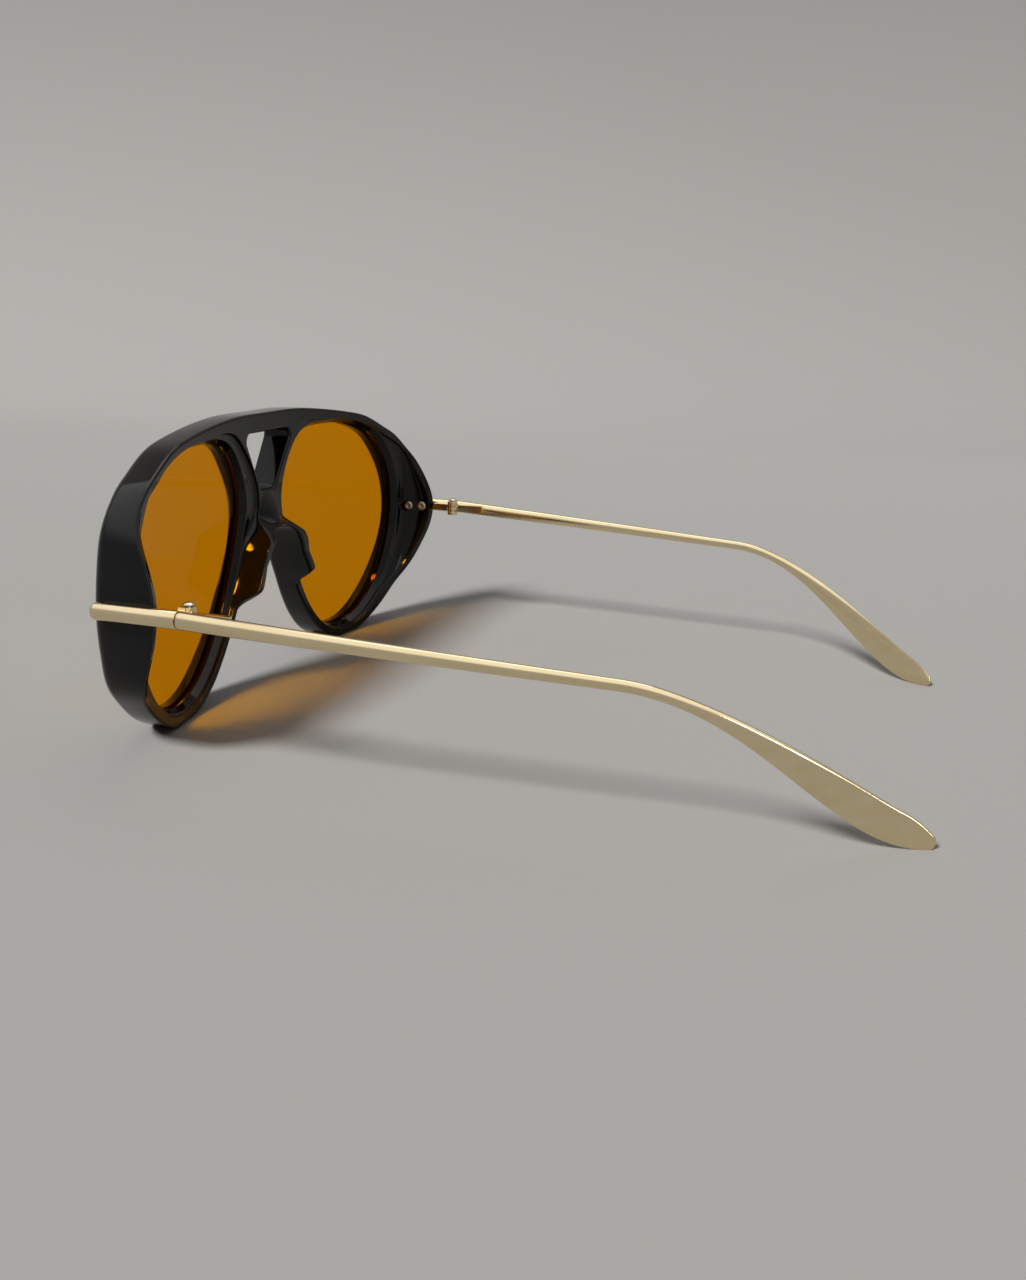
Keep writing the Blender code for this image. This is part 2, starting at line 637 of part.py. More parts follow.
def add_hinge(side_name, side, pivot):
    """Two knuckles on the endpiece's leaf, one on the temple's leaf, and the screw that joins them."""
    axis = (side * AXIS_X, SEAM_Y, HINGE_HEIGHT)
    notch = BARREL_RADIUS + CLEARANCE
    half_knuckle = KNUCKLE_HEIGHT / 2
    name = "hinge_front_" + side_name
    outline_points = hinge_outline(side, -1, ENDPIECE_OVERHANG - 2 * CLEARANCE, BARREL_RADIUS)
    leaf = add_object(name, hinge_leaf(name, outline_points, BARREL_LOW, BARREL_TOP), PALE_GOLD)
    bore = barrel_cutter(f"hinge_bore_{side_name}", side, SCREW_DIAMETER / 2 + CLEARANCE, BARREL_LOW - 1,
                         BARREL_TOP + 1)
    cut(leaf, barrel_cutter(name + "_notch", side, notch, HINGE_HEIGHT - half_knuckle - CLEARANCE,
                            HINGE_HEIGHT + half_knuckle + CLEARANCE))
    cut(leaf, bore)
    inner, outer = sorted((side * (AXIS_X - BARREL_RADIUS), side * (AXIS_X + BARREL_DIAMETER)))
    for place, low, high in (("over", HINGE_HEIGHT + LEAF_HEIGHT / 2, BARREL_TOP + LEAF_HEIGHT),
                             ("under", BARREL_LOW - LEAF_HEIGHT, HINGE_HEIGHT - LEAF_HEIGHT / 2)):
        spare = box(f"{name}_{place}", (inner, SEAM_Y - 2 * ENDPIECE_OVERHANG, low),
                    (outer, SEAM_Y - BARREL_RADIUS, high))
        cut(leaf, helper(f"{name}_{place}", spare))
    name = "hinge_temple_" + side_name
    leaf_end = temple_path(LEAF_LENGTH / TEMPLE_REACH)[0] - ROD_RADIUS - CLEARANCE - AXIS_X
    outline_points = hinge_outline(side, 1, LEAF_LENGTH, leaf_end)
    leaf = hinge_leaf(name, outline_points, HINGE_HEIGHT - LEAF_HEIGHT / 2, HINGE_HEIGHT + LEAF_HEIGHT / 2)
    leaf = add_object(name, leaf, PALE_GOLD, pivot, axis)
    cut(leaf, barrel_cutter(name + "_over", side, notch, HINGE_HEIGHT + half_knuckle, BARREL_TOP + 1))
    cut(leaf, barrel_cutter(name + "_under", side, notch, BARREL_LOW - 1, HINGE_HEIGHT - half_knuckle))
    cut(leaf, bore)
    name = "hinge_screw_" + side_name
    head_low = BARREL_TOP + CLEARANCE
    head_top = head_low + SCREW_HEAD_THICKNESS
    head = SCREW_HEAD_DIAMETER / 2
    profile = [(BARREL_LOW, SCREW_DIAMETER / 2), (head_low, SCREW_DIAMETER / 2)]
    profile += [(head_low + rise * SCREW_HEAD_THICKNESS, share * head) for rise, share in SCREW_CROWN]
    screw = add_object(name, turned(name, profile, (axis[0], axis[1], 0.0), "z", 20), STEEL)
    slot_low = (axis[0] - SCREW_SLOT / 2, SEAM_Y - SCREW_HEAD_DIAMETER, head_top - SCREW_SLOT)
    slot_high = (axis[0] + SCREW_SLOT / 2, SEAM_Y + SCREW_HEAD_DIAMETER, head_top + SCREW_SLOT)
    cut(screw, helper(name + "_slot", box(name + "_slot", slot_low, slot_high)))


front = add_object("front_frame", front_mesh(), BLACK_ACETATE)
for side_name, side in (("left", 1), ("right", -1)):
    add_object("lens_" + side_name, lens_mesh("lens_" + side_name, side), AMBER_LENS)
    add_endpiece(side_name, side)
    for place, y in RIVET_YS.items():
        add_rivet(side_name, side, place, y)
    pivot = bpy.data.objects.new(f"{side_name}_hinge_axis", None)
    bpy.context.scene.collection.objects.link(pivot)
    pivot.parent = root
    pivot.location = (side * AXIS_X * MM, SEAM_Y * MM, HINGE_HEIGHT * MM)
    add_hinge(side_name, side, pivot)
    axis_place = (side * AXIS_X, SEAM_Y, HINGE_HEIGHT)
    name = "temple_" + side_name
    temple = add_object(name, temple_mesh(name, side), PALE_GOLD, pivot, axis_place)

# The front's foremost edge and the tips' rearmost points stand equally far from the middle.
foremost = min(vertex.co.y for vertex in front.data.vertices)
rearmost = pivot.location.y + max(vertex.co.y for vertex in temple.data.vertices)
root.location = (0.0, -(foremost + rearmost) / 2, 0.0)
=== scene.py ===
"""Looks of oversized aviator sunglasses: a polished black acetate front, amber lenses and pale gold temples."""

import json
import math

import bmesh
import bpy
import numpy as np
from mathutils import Matrix, Vector


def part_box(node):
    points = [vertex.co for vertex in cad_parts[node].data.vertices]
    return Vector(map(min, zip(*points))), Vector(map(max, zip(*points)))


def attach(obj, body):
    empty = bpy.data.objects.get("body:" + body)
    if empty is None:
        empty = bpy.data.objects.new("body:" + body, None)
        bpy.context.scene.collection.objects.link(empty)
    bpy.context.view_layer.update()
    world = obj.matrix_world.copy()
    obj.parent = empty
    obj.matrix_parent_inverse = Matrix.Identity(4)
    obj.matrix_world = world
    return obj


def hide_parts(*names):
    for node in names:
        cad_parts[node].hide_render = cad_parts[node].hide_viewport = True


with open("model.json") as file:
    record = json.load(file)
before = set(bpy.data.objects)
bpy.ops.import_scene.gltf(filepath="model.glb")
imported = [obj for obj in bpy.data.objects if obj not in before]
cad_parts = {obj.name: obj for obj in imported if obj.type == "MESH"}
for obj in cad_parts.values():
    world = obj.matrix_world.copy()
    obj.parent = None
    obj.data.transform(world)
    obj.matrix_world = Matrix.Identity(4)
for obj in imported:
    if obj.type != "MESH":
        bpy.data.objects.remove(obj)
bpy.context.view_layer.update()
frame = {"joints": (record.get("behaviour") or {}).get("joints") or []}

# Front: one slab of black acetate, milled to a keyhole aviator and tumbled to a high polish.
# The deep wings and the nose pads belong to the same slab, and a cove runs round behind each lens groove.
MM = 0.001
LENS_WIDTH = 50.3
LENS_HEIGHT = 53.2
LENS_THICKNESS = 2.0
BRIDGE_WIDTH = 19.6
WRAP_RADIUS = 245.0
FRONT_LEAN = math.radians(2.3)
RIM_BROW = 3.1
RIM_BROW_END = 3.2
RIM_TEMPLE = 8.4
RIM_LOWER = 3.9
RIM_BOTTOM = 3.3
RIM_CHEEK = 2.9
RIM_NOSE = 3.7
RIM_STRUT = 5.3
RIM_WAIST = 7.2
RIM_WING_TOP = 7.6
RIM_WING_FOOT = 7.9
BROW_RISE = 5.1
BROW_DIP = 0.15
BROW_SHARE = 0.45
ARCH_HEIGHT = 35.6
ARCH_WIDTH = 10.0
ARCH_SHAPE = ((0.66, 0.42), (0.36, 0.08), (0.0, 0.0))
RIM_DEPTH = 7.6
WING_EXTRA = 5.2
PAD_EXTRA = 5.4
NOSE_THINNING = 1.3
LIP_WIDTH = 2.1
LIP_ROUND = 0.22
FRONT_ROUND = 2.0
REAR_ROUND = 0.6
PAD_ROUND = 0.9
EDGE_HOLD = 0.08
REST_FLAT = 0.25
LENS_SETBACK = 2.9
GROOVE_DEPTH = 0.9
BEZEL_EDGE = 0.8
BEZEL_SLOPE_DEPTH = 1.4
BEZEL_SLOPE_TEMPLE = 4.2
BEZEL_SLOPE_NOSE = 1.6
BEZEL_BULGE = 1.1
LEAST_BEZEL = 0.2
LEDGE_BEHIND_LENS = 1.6
LEDGE_FLARE = 0.9
LEDGE_ROUND = 0.22
LEAST_COVE = 0.15
KEYHOLE_TOP = 4.5
KEYHOLE_BASE = 43.9
KEYHOLE_TOP_WIDTH = 22.4
KEYHOLE_BASE_WIDTH = 6.0
KEYHOLE_CORNER = 1.7
KEYHOLE_ROUND = 1.3
CLEARANCE = 0.25
EYE_STEPS = 288
OUTER_STEPS = 560
SPAN_STEPS = 60
CORNER_STEPS = 15
FRONT_ROUND_STEPS = 9
REAR_ROUND_STEPS = 7
LIP_STEPS = 5
COVE_STEPS = 16
COVE_START = 84.0
COVE_POWER = 2 / 3
LEDGE_STEPS = 6
BEZEL_STEPS = 9
HOLD_SHARE = 0.1
TOP = RIM_BOTTOM + LENS_HEIGHT + BROW_RISE
LENS_BACK = LENS_SETBACK + LENS_THICKNESS
LEDGE = LENS_BACK + LEDGE_BEHIND_LENS

# Each hill of the front: the direction from the lens centre, in degrees, where it reaches its top,
# and how far it runs before and after.
WING_HILL = (2.0, 44.0, 34.0)
PAD_UPPER_HILL = (174.0, 10.0, 60.0)
PAD_LOWER_HILL = (196.0, 60.0, 14.0)
THIN_NOSE_HILL = (192.0, 76.0, 74.0)
TEMPLE_BEZEL_HILL = (0.0, 55.0, 50.0)
NOSE_BEZEL_HILL = (172.0, 36.0, 34.0)
OUTLINE_DIRECTIONS = (88, 70, 55, 42, 28, 14, 0, -14, -28, -42, -58, -75, -90, -105, -122, -140, -158)
LENS_SHAPE = (
    (1.000, 0.550), (0.960, 0.740), (0.830, 0.900), (0.640, 0.975), (0.400, 1.000), (0.160, 0.975),
    (0.056, 0.885), (-0.010, 0.730), (0.016, 0.580), (0.110, 0.360), (0.236, 0.168), (0.390, 0.040),
    (0.540, 0.000), (0.690, 0.020), (0.845, 0.120), (0.960, 0.310),
)
LENS_LEFT = BRIDGE_WIDTH / 2
LENS_CENTRE = np.array([LENS_LEFT + LENS_WIDTH / 2, RIM_BOTTOM + LENS_HEIGHT / 2])


def even_curve(points, steps):
    """Points spaced evenly along a closed centripetal curve through the given points."""
    points = np.array(points, float)
    knots = np.vstack([points[-1], points, points[0], points[1]])
    dense = []
    for a, b, c, d in zip(knots, knots[1:], knots[2:], knots[3:]):
        t1 = math.sqrt(np.linalg.norm(b - a))
        t2 = t1 + math.sqrt(np.linalg.norm(c - b))
        t3 = t2 + math.sqrt(np.linalg.norm(d - c))
        for t in np.linspace(t1, t2, SPAN_STEPS, endpoint=False):
            ab = a + (b - a) * t / t1
            bc = b + (c - b) * (t - t1) / (t2 - t1)
            cd = c + (d - c) * (t - t2) / (t3 - t2)
            abc = ab + (bc - ab) * t / t2
            bcd = bc + (cd - bc) * (t - t1) / (t3 - t1)
            dense.append(abc + (bcd - abc) * (t - t1) / (t2 - t1))
    dense = np.array(dense + dense[:1])
    run = np.concatenate([[0.0], np.cumsum(np.linalg.norm(np.diff(dense, axis=0), axis=1))])
    at = np.linspace(0.0, run[-1], steps, endpoint=False)
    return np.column_stack([np.interp(at, run, dense[:, axis]) for axis in range(2)])


def outward(loop):
    """Unit normals of a closed counter-clockwise loop, pointing away from its inside."""
    along = np.roll(loop, -1, axis=0) - np.roll(loop, 1, axis=0)
    normal = np.column_stack([along[:, 1], -along[:, 0]])
    return normal / np.linalg.norm(normal, axis=1)[:, None]


lens_corners = [(LENS_LEFT + u * LENS_WIDTH, RIM_BOTTOM + v * LENS_HEIGHT) for u, v in LENS_SHAPE]
eye = even_curve(lens_corners, EYE_STEPS)
eye_normal = outward(eye)


def turn(x, z):
    """Direction from the lens centre in degrees, 0 towards the temple, 90 up and 180 towards the nose."""
    return np.degrees(np.arctan2(z - LENS_CENTRE[1], np.abs(x) - LENS_CENTRE[0])) % 360.0


RIM_STATIONS = np.array([
    (0.0, RIM_TEMPLE), (28.0, RIM_WING_TOP), (55.0, RIM_BROW_END), (75.0, RIM_BROW), (105.0, RIM_BROW),
    (130.0, RIM_STRUT), (156.0, RIM_WAIST), (178.0, RIM_NOSE), (215.0, RIM_CHEEK), (245.0, RIM_CHEEK),
    (272.0, RIM_BOTTOM), (305.0, RIM_LOWER), (335.0, RIM_WING_FOOT), (360.0, RIM_TEMPLE),
])


def rim_width(angle):
    """Acetate between lens edge and outline, eased from station to station."""
    index = np.clip(np.searchsorted(RIM_STATIONS[:, 0], angle, side="right") - 1, 0, len(RIM_STATIONS) - 2)
    span = RIM_STATIONS[index + 1, 0] - RIM_STATIONS[index, 0]
    share = (angle - RIM_STATIONS[index, 0]) / span
    ease = share * share * (3 - 2 * share)
    return RIM_STATIONS[index, 1] * (1 - ease) + RIM_STATIONS[index + 1, 1] * ease


def hill(angle, centre, before, after):
    """Smooth hill over the direction, one at its centre and zero past its two half-widths."""
    away = (angle - centre + 180.0) % 360.0 - 180.0
    share = np.where(away < 0, away / before, away / after)
    return np.where(np.abs(share) < 1, np.cos(share * math.pi / 2) ** 2, 0.0)


def pad_hill(x, z):
    """Rises with the pad's upper hill and falls with its lower one."""
    angle = turn(x, z)
    pad_middle = (PAD_UPPER_HILL[0] + PAD_LOWER_HILL[0]) / 2
    return np.where(angle < pad_middle, hill(angle, *PAD_UPPER_HILL), hill(angle, *PAD_LOWER_HILL))


def front_depth(x, z):
    """Depth of the acetate from its front face back, with the wings and the nose pads."""
    return RIM_DEPTH + WING_EXTRA * hill(turn(x, z), *WING_HILL) + PAD_EXTRA * pad_hill(x, z)


def set_back(x, z):
    """How far the front face is milled back round the nose, where the acetate is thinner."""
    return NOSE_THINNING * hill(turn(x, z), *THIN_NOSE_HILL)


def face_y(x, z):
    """Place of the front face from front to back: it wraps round the head and leans back to the brow."""
    return x * x / (2 * WRAP_RADIUS) - math.tan(FRONT_LEAN) * (TOP - z)


def outer_outline():
    """Half outline from brow to nose arch by way of the temple, then mirrored to close the front."""
    rim = []
    for angle in OUTLINE_DIRECTIONS:
        place = np.argmin(np.abs((turn(eye[:, 0], eye[:, 1]) - angle + 180.0) % 360.0 - 180.0))
        rim.append(eye[place] + eye_normal[place] * rim_width(turn(*eye[place])))
    brow = [(0.0, TOP), (BROW_SHARE * LENS_CENTRE[0], TOP - BROW_DIP)]
    arch = [(across * ARCH_WIDTH, ARCH_HEIGHT - fall * ARCH_WIDTH) for across, fall in ARCH_SHAPE]
    half = np.array(brow + rim + arch)
    whole = np.vstack([half, (half * [-1, 1])[-2:0:-1]])
    loop = even_curve(whole, OUTER_STEPS)[::-1]
    loop[:, 1] = np.maximum(loop[:, 1] - REST_FLAT, 0.0)
    return loop


def keyhole_outline():
    """Rounded triangle under the brow bar, point down."""
    top = TOP - KEYHOLE_TOP
    corners = [(-KEYHOLE_TOP_WIDTH / 2, top), (-KEYHOLE_BASE_WIDTH / 2, KEYHOLE_BASE),
               (KEYHOLE_BASE_WIDTH / 2, KEYHOLE_BASE), (KEYHOLE_TOP_WIDTH / 2, top)]
    points = []
    for before, corner, after in zip(corners[-1:] + corners, corners, corners[1:] + corners[:1]):
        here = np.array(corner)
        back = np.array(before) - here
        ahead = np.array(after) - here
        back = back / np.linalg.norm(back)
        ahead = ahead / np.linalg.norm(ahead)
        half_angle = math.acos(np.dot(back, ahead)) / 2
        reach = KEYHOLE_CORNER / math.tan(half_angle)
        centre = here + (back + ahead) / np.linalg.norm(back + ahead) * KEYHOLE_CORNER / math.sin(half_angle)
        start = here + back * reach - centre
        end = here + ahead * reach - centre
        sweep = math.atan2(start[0] * end[1] - start[1] * end[0], np.dot(start, end))
        for share in np.linspace(0.0, 1.0, CORNER_STEPS):
            c, s = math.cos(sweep * share), math.sin(sweep * share)
            points.append(centre + [c * start[0] - s * start[1], s * start[0] + c * start[1]])
    return np.array(points)


def lifted(loop, share_of_depth, extra):
    """Loop of the front view set at a share of the local depth plus a distance behind the face."""
    x, z = loop[:, 0], loop[:, 1]
    return np.column_stack([x, face_y(x, z) + front_depth(x, z) * share_of_depth + extra, z])


def edge_rings(loop, inside, front_round, rear_round):
    """Wall of an outline from the rear face to the front face, rounded at both edges and held flat there.
    inside is -1 where the acetate lies inside the loop and 1 where it lies outside."""
    normal = outward(loop)
    rear_round = np.reshape(rear_round * np.ones(len(loop)), (-1, 1))
    rings = [lifted(loop + normal * inside * (rear_round + EDGE_HOLD), 1.0, 0.0)]
    for angle in np.radians(np.linspace(0.0, 90.0, REAR_ROUND_STEPS)):
        moved = loop + normal * inside * rear_round * (1 - math.sin(angle))
        rings.append(lifted(moved, 1.0, -rear_round[:, 0] * (1 - math.cos(angle))))
    for angle in np.radians(np.linspace(90.0, 0.0, FRONT_ROUND_STEPS)):
        moved = loop + normal * inside * front_round * (1 - math.sin(angle))
        rings.append(lifted(moved, 0.0, front_round * (1 - math.cos(angle)) + set_back(*moved.T)))
    moved = loop + normal * inside * (front_round + EDGE_HOLD)
    rings.append(lifted(moved, 0.0, set_back(*moved.T)))
    return rings


def eye_rings(points, normal):
    """Rings round a lens opening from the rear lip through the cove and the groove to the front face."""
    angles = turn(points[:, 0], points[:, 1])
    lip = np.maximum(rim_width(angles) - LIP_WIDTH, LEDGE_FLARE + LEAST_COVE)
    edge = points + normal * lip[:, None]
    far = front_depth(edge[:, 0], edge[:, 1])

    def ring(offset, back):
        """The opening's edge moved out by an offset and set so far behind the face."""
        moved = points + normal * np.reshape(offset * np.ones(len(points)), (-1, 1))
        return np.column_stack([moved[:, 0], face_y(moved[:, 0], moved[:, 1]) + back, moved[:, 1]])

    cove_depth = far - LIP_ROUND - LEDGE
    rings = [ring(lip + LIP_ROUND + EDGE_HOLD, far)]
    for angle in np.radians(np.linspace(0.0, 90.0, LIP_STEPS)):
        rings.append(ring(lip + LIP_ROUND * (1 - math.sin(angle)), far - LIP_ROUND * (1 - math.cos(angle))))
    rings.append(ring(lip, far - LIP_ROUND - np.minimum(EDGE_HOLD, HOLD_SHARE * cove_depth)))
    ledge_round = np.minimum(LEDGE_ROUND, (lip - LEDGE_FLARE) / 2)
    cove_foot = LEDGE_FLARE + ledge_round
    for angle in np.radians(np.linspace(COVE_START, 0.0, COVE_STEPS)):
        share = 1 - math.cos(angle) ** COVE_POWER
        side = math.sin(angle) ** COVE_POWER
        rings.append(ring(cove_foot + (lip - cove_foot) * side, LEDGE + cove_depth * share))
    groove_back = LENS_BACK + CLEARANCE
    groove_front = LENS_SETBACK - CLEARANCE
    ledge_lean = math.atan2(LEDGE - groove_back, LEDGE_FLARE)
    for angle in np.linspace(0.0, ledge_lean, LEDGE_STEPS)[1:]:
        ledge_in = cove_foot - ledge_round * math.sin(angle)
        ledge_back = LEDGE - ledge_round * (1 - math.cos(angle))
        rings.append(ring(ledge_in, ledge_back))
    rings.append(ring((1 - HOLD_SHARE) * ledge_in, ledge_back + HOLD_SHARE * (groove_back - ledge_back)))
    for offset, back in ((0.0, groove_back), (GROOVE_DEPTH, groove_back), (GROOVE_DEPTH, groove_front),
                         (0.0, groove_front)):
        rings.append(ring(offset, back))
    temple_slope = hill(angles, *TEMPLE_BEZEL_HILL)
    nose_slope = hill(angles, *NOSE_BEZEL_HILL)
    wide = BEZEL_EDGE + BEZEL_SLOPE_TEMPLE * temple_slope + BEZEL_SLOPE_NOSE * nose_slope
    near = set_back(points[:, 0], points[:, 1])
    deep = near + BEZEL_EDGE + BEZEL_SLOPE_DEPTH * np.maximum(temple_slope, nose_slope)
    deep = np.minimum(deep, groove_front - LEAST_BEZEL)
    for angle in np.linspace(0.0, math.pi / 2, BEZEL_STEPS):
        out = 1 - max(math.cos(angle), 0.0) ** (2 / BEZEL_BULGE)
        back = 1 - math.sin(angle) ** (2 / BEZEL_BULGE)
        rings.append(ring(wide * out, near + (deep - near) * back))
    rings.append(ring(wide + EDGE_HOLD, near))
    return rings


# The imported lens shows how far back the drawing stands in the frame.
lens_edge = eye + eye_normal * (GROOVE_DEPTH - CLEARANCE)
drawn_lens_front = float(np.min(face_y(lens_edge[:, 0], lens_edge[:, 1]))) + LENS_SETBACK
BACK_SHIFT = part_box("lens_left")[0].y / MM - drawn_lens_front


def placed(point):
    """A drawn point in millimetres as a place in the frame."""
    return (point[0] * MM, (point[1] + BACK_SHIFT) * MM, point[2] * MM)


def skin(work, rows):
    """Faces between each closed row of points and the next."""
    count = len(rows[0])
    for near, far in zip(rows, rows[1:]):
        for i in range(count):
            j = (i + 1) % count
            work.faces.new((near[i], near[j], far[j], far[i]))


def finished(work, name):
    """The worked body as a mesh, with its faces turned outwards."""
    bmesh.ops.recalc_face_normals(work, faces=work.faces)
    mesh = bpy.data.meshes.new(name)
    work.to_mesh(mesh)
    work.free()
    return mesh


def front_mesh():
    """Walls of the outline, the two lens openings and the keyhole, closed by the front and rear faces.
    The faces are filled flat, and then every point goes back to its own depth."""
    outer = outer_outline()
    pads = np.where(np.abs(outer[:, 0]) < LENS_CENTRE[0], pad_hill(outer[:, 0], outer[:, 1]), 0.0)
    walls = [
        edge_rings(outer, -1, FRONT_ROUND, REAR_ROUND + (PAD_ROUND - REAR_ROUND) * pads),
        eye_rings(eye, eye_normal),
        eye_rings(eye[::-1] * [-1, 1], eye_normal[::-1] * [-1, 1]),
        edge_rings(keyhole_outline(), 1, KEYHOLE_ROUND, REAR_ROUND),
    ]
    work = bmesh.new()
    face_edges = ([], [])
    place_of = {}
    for rings in walls:
        rows = []
        for ring in rings:
            rows.append([work.verts.new((x, 0.0, z)) for x, y, z in ring])
            place_of.update(zip(rows[-1], ring))
        skin(work, rows)
        for row, edges in zip((rows[0], rows[-1]), face_edges):
            edges += [work.edges.get(pair) for pair in zip(row, row[1:] + row[:1])]
    for edges in face_edges:
        bmesh.ops.triangle_fill(work, edges=edges, use_beauty=True)
    for vertex, place in place_of.items():
        vertex.co = placed(place)
    return finished(work, "acetate_front")


SHARP_EDGE = math.radians(38.0)


def add_piece(name, mesh, finish, body, node):
    """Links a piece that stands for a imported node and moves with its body."""
    mesh.shade_smooth()
    mesh.set_sharp_from_angle(angle=SHARP_EDGE)
    mesh.materials.append(finish)
    piece = bpy.data.objects.new(name, mesh)
    bpy.context.scene.collection.objects.link(piece)
    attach(piece, body)
    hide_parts(node)
    return piece


def polish_haze_group():
    """Polish that differs a little from place to place: a roughness and the height of very fine swirls."""
    tree = bpy.data.node_groups.new("polish haze", "ShaderNodeTree")
    for name in ("Haze Scale", "Swirl Scale", "Clear", "Hazy"):
        tree.interface.new_socket(name, in_out="INPUT", socket_type="NodeSocketFloat")
    tree.interface.new_socket("Stretch", in_out="INPUT", socket_type="NodeSocketVector")
    for name in ("Roughness", "Height", "Mask"):
        tree.interface.new_socket(name, in_out="OUTPUT", socket_type="NodeSocketFloat")
    nodes, links = tree.nodes, tree.links
    entry = nodes.new("NodeGroupInput")
    leave = nodes.new("NodeGroupOutput")
    place = nodes.new("ShaderNodeTexCoord")
    stretch = nodes.new("ShaderNodeVectorMath")
    stretch.operation = "MULTIPLY"
    haze = nodes.new("ShaderNodeTexNoise")
    haze.inputs["Detail"].default_value = 5.0
    swirl = nodes.new("ShaderNodeTexNoise")
    swirl.inputs["Detail"].default_value = 3.0
    spread = nodes.new("ShaderNodeMapRange")
    spread.inputs["From Min"].default_value = 0.35
    spread.inputs["From Max"].default_value = 0.68
    blend = nodes.new("ShaderNodeMapRange")
    links.new(place.outputs["Object"], stretch.inputs[0])
    links.new(entry.outputs["Stretch"], stretch.inputs[1])
    for texture, scale in ((haze, "Haze Scale"), (swirl, "Swirl Scale")):
        links.new(stretch.outputs["Vector"], texture.inputs["Vector"])
        links.new(entry.outputs[scale], texture.inputs["Scale"])
    links.new(haze.outputs["Fac"], spread.inputs["Value"])
    links.new(spread.outputs["Result"], blend.inputs["Value"])
    links.new(entry.outputs["Clear"], blend.inputs["To Min"])
    links.new(entry.outputs["Hazy"], blend.inputs["To Max"])
    links.new(blend.outputs["Result"], leave.inputs["Roughness"])
    links.new(swirl.outputs["Fac"], leave.inputs["Height"])
    links.new(spread.outputs["Result"], leave.inputs["Mask"])
    return tree


polish_haze = polish_haze_group()


def add_polish(material, shader, haze_scale, swirl_scale, clear, hazy, stretch, swirl_height):
    """Puts the polish group into a material: its roughness, and its swirls as a very fine bump."""
    nodes, links = material.node_tree.nodes, material.node_tree.links
    group = nodes.new("ShaderNodeGroup")
    group.node_tree = polish_haze
    group.inputs["Haze Scale"].default_value = haze_scale
    group.inputs["Swirl Scale"].default_value = swirl_scale
    group.inputs["Clear"].default_value = clear
    group.inputs["Hazy"].default_value = hazy
    group.inputs["Stretch"].default_value = stretch
    bump = nodes.new("ShaderNodeBump")
    bump.inputs["Strength"].default_value = 0.25
    bump.inputs["Distance"].default_value = swirl_height
    links.new(group.outputs["Roughness"], shader.inputs["Roughness"])
    links.new(group.outputs["Height"], bump.inputs["Height"])
    links.new(bump.outputs["Normal"], shader.inputs["Normal"])
    return group


def black_acetate():
    """Black acetate with a warm depth, polished wet-bright, and a breath of haze where hands hold it."""
    material = bpy.data.materials.new("black acetate")
    material.use_nodes = True
    nodes, links = material.node_tree.nodes, material.node_tree.links
    shader = nodes["Principled BSDF"]
    shader.inputs["IOR"].default_value = 1.49
    shader.inputs["Specular IOR Level"].default_value = 0.26
    group = add_polish(material, shader, 90.0, 2400.0, 0.05, 0.10, (1.0, 1.0, 1.0), 0.000002)
    tint = nodes.new("ShaderNodeMix")
    tint.data_type = "RGBA"
    tint.inputs["A"].default_value = (0.0026, 0.0022, 0.0026, 1.0)
    tint.inputs["B"].default_value = (0.0040, 0.0033, 0.0036, 1.0)
    links.new(group.outputs["Mask"], tint.inputs["Factor"])
    links.new(tint.outputs["Result"], shader.inputs["Base Color"])
    return material


BLACK_ACETATE = black_acetate()
acetate_front = add_piece("acetate_front", front_mesh(), BLACK_ACETATE, "front", "front_frame")

# Lenses: moulded amber plastic, two millimetres thick, curved with the wrap of the front.
# Each is sprung into its groove, so its edge stands a little inside the acetate.
LENS_RINGS = 18
LENS_BEVEL = 0.25


def lens_mesh(name, side):
    """Curved plate in rings from its middle out to a small bevel, the front first and then the back."""
    rings = []
    for back, inward in ((LENS_SETBACK, 1), (LENS_BACK, -1)):
        surface = []
        for share in np.linspace(0.0, 1.0, LENS_RINGS + 1)[1:]:
            loop = LENS_CENTRE + (lens_edge - eye_normal * LENS_BEVEL - LENS_CENTRE) * share
            surface.append(np.column_stack([loop[:, 0], face_y(*loop.T) + back, loop[:, 1]]))
        edge_y = face_y(*lens_edge.T) + back + inward * LENS_BEVEL
        rings.append(surface + [np.column_stack([lens_edge[:, 0], edge_y, lens_edge[:, 1]])])
    work = bmesh.new()
    ordered = rings[0] + rings[1][::-1]
    rows = [[work.verts.new(placed((side * x, y, z))) for x, y, z in ring] for ring in ordered]
    skin(work, rows)
    for row, back in ((rows[0], LENS_SETBACK), (rows[-1], LENS_BACK)):
        middle = work.verts.new(placed((side * LENS_CENTRE[0], face_y(*LENS_CENTRE) + back, LENS_CENTRE[1])))
        for here, beside in zip(row, row[1:] + row[:1]):
            work.faces.new((here, beside, middle))
    return finished(work, name)


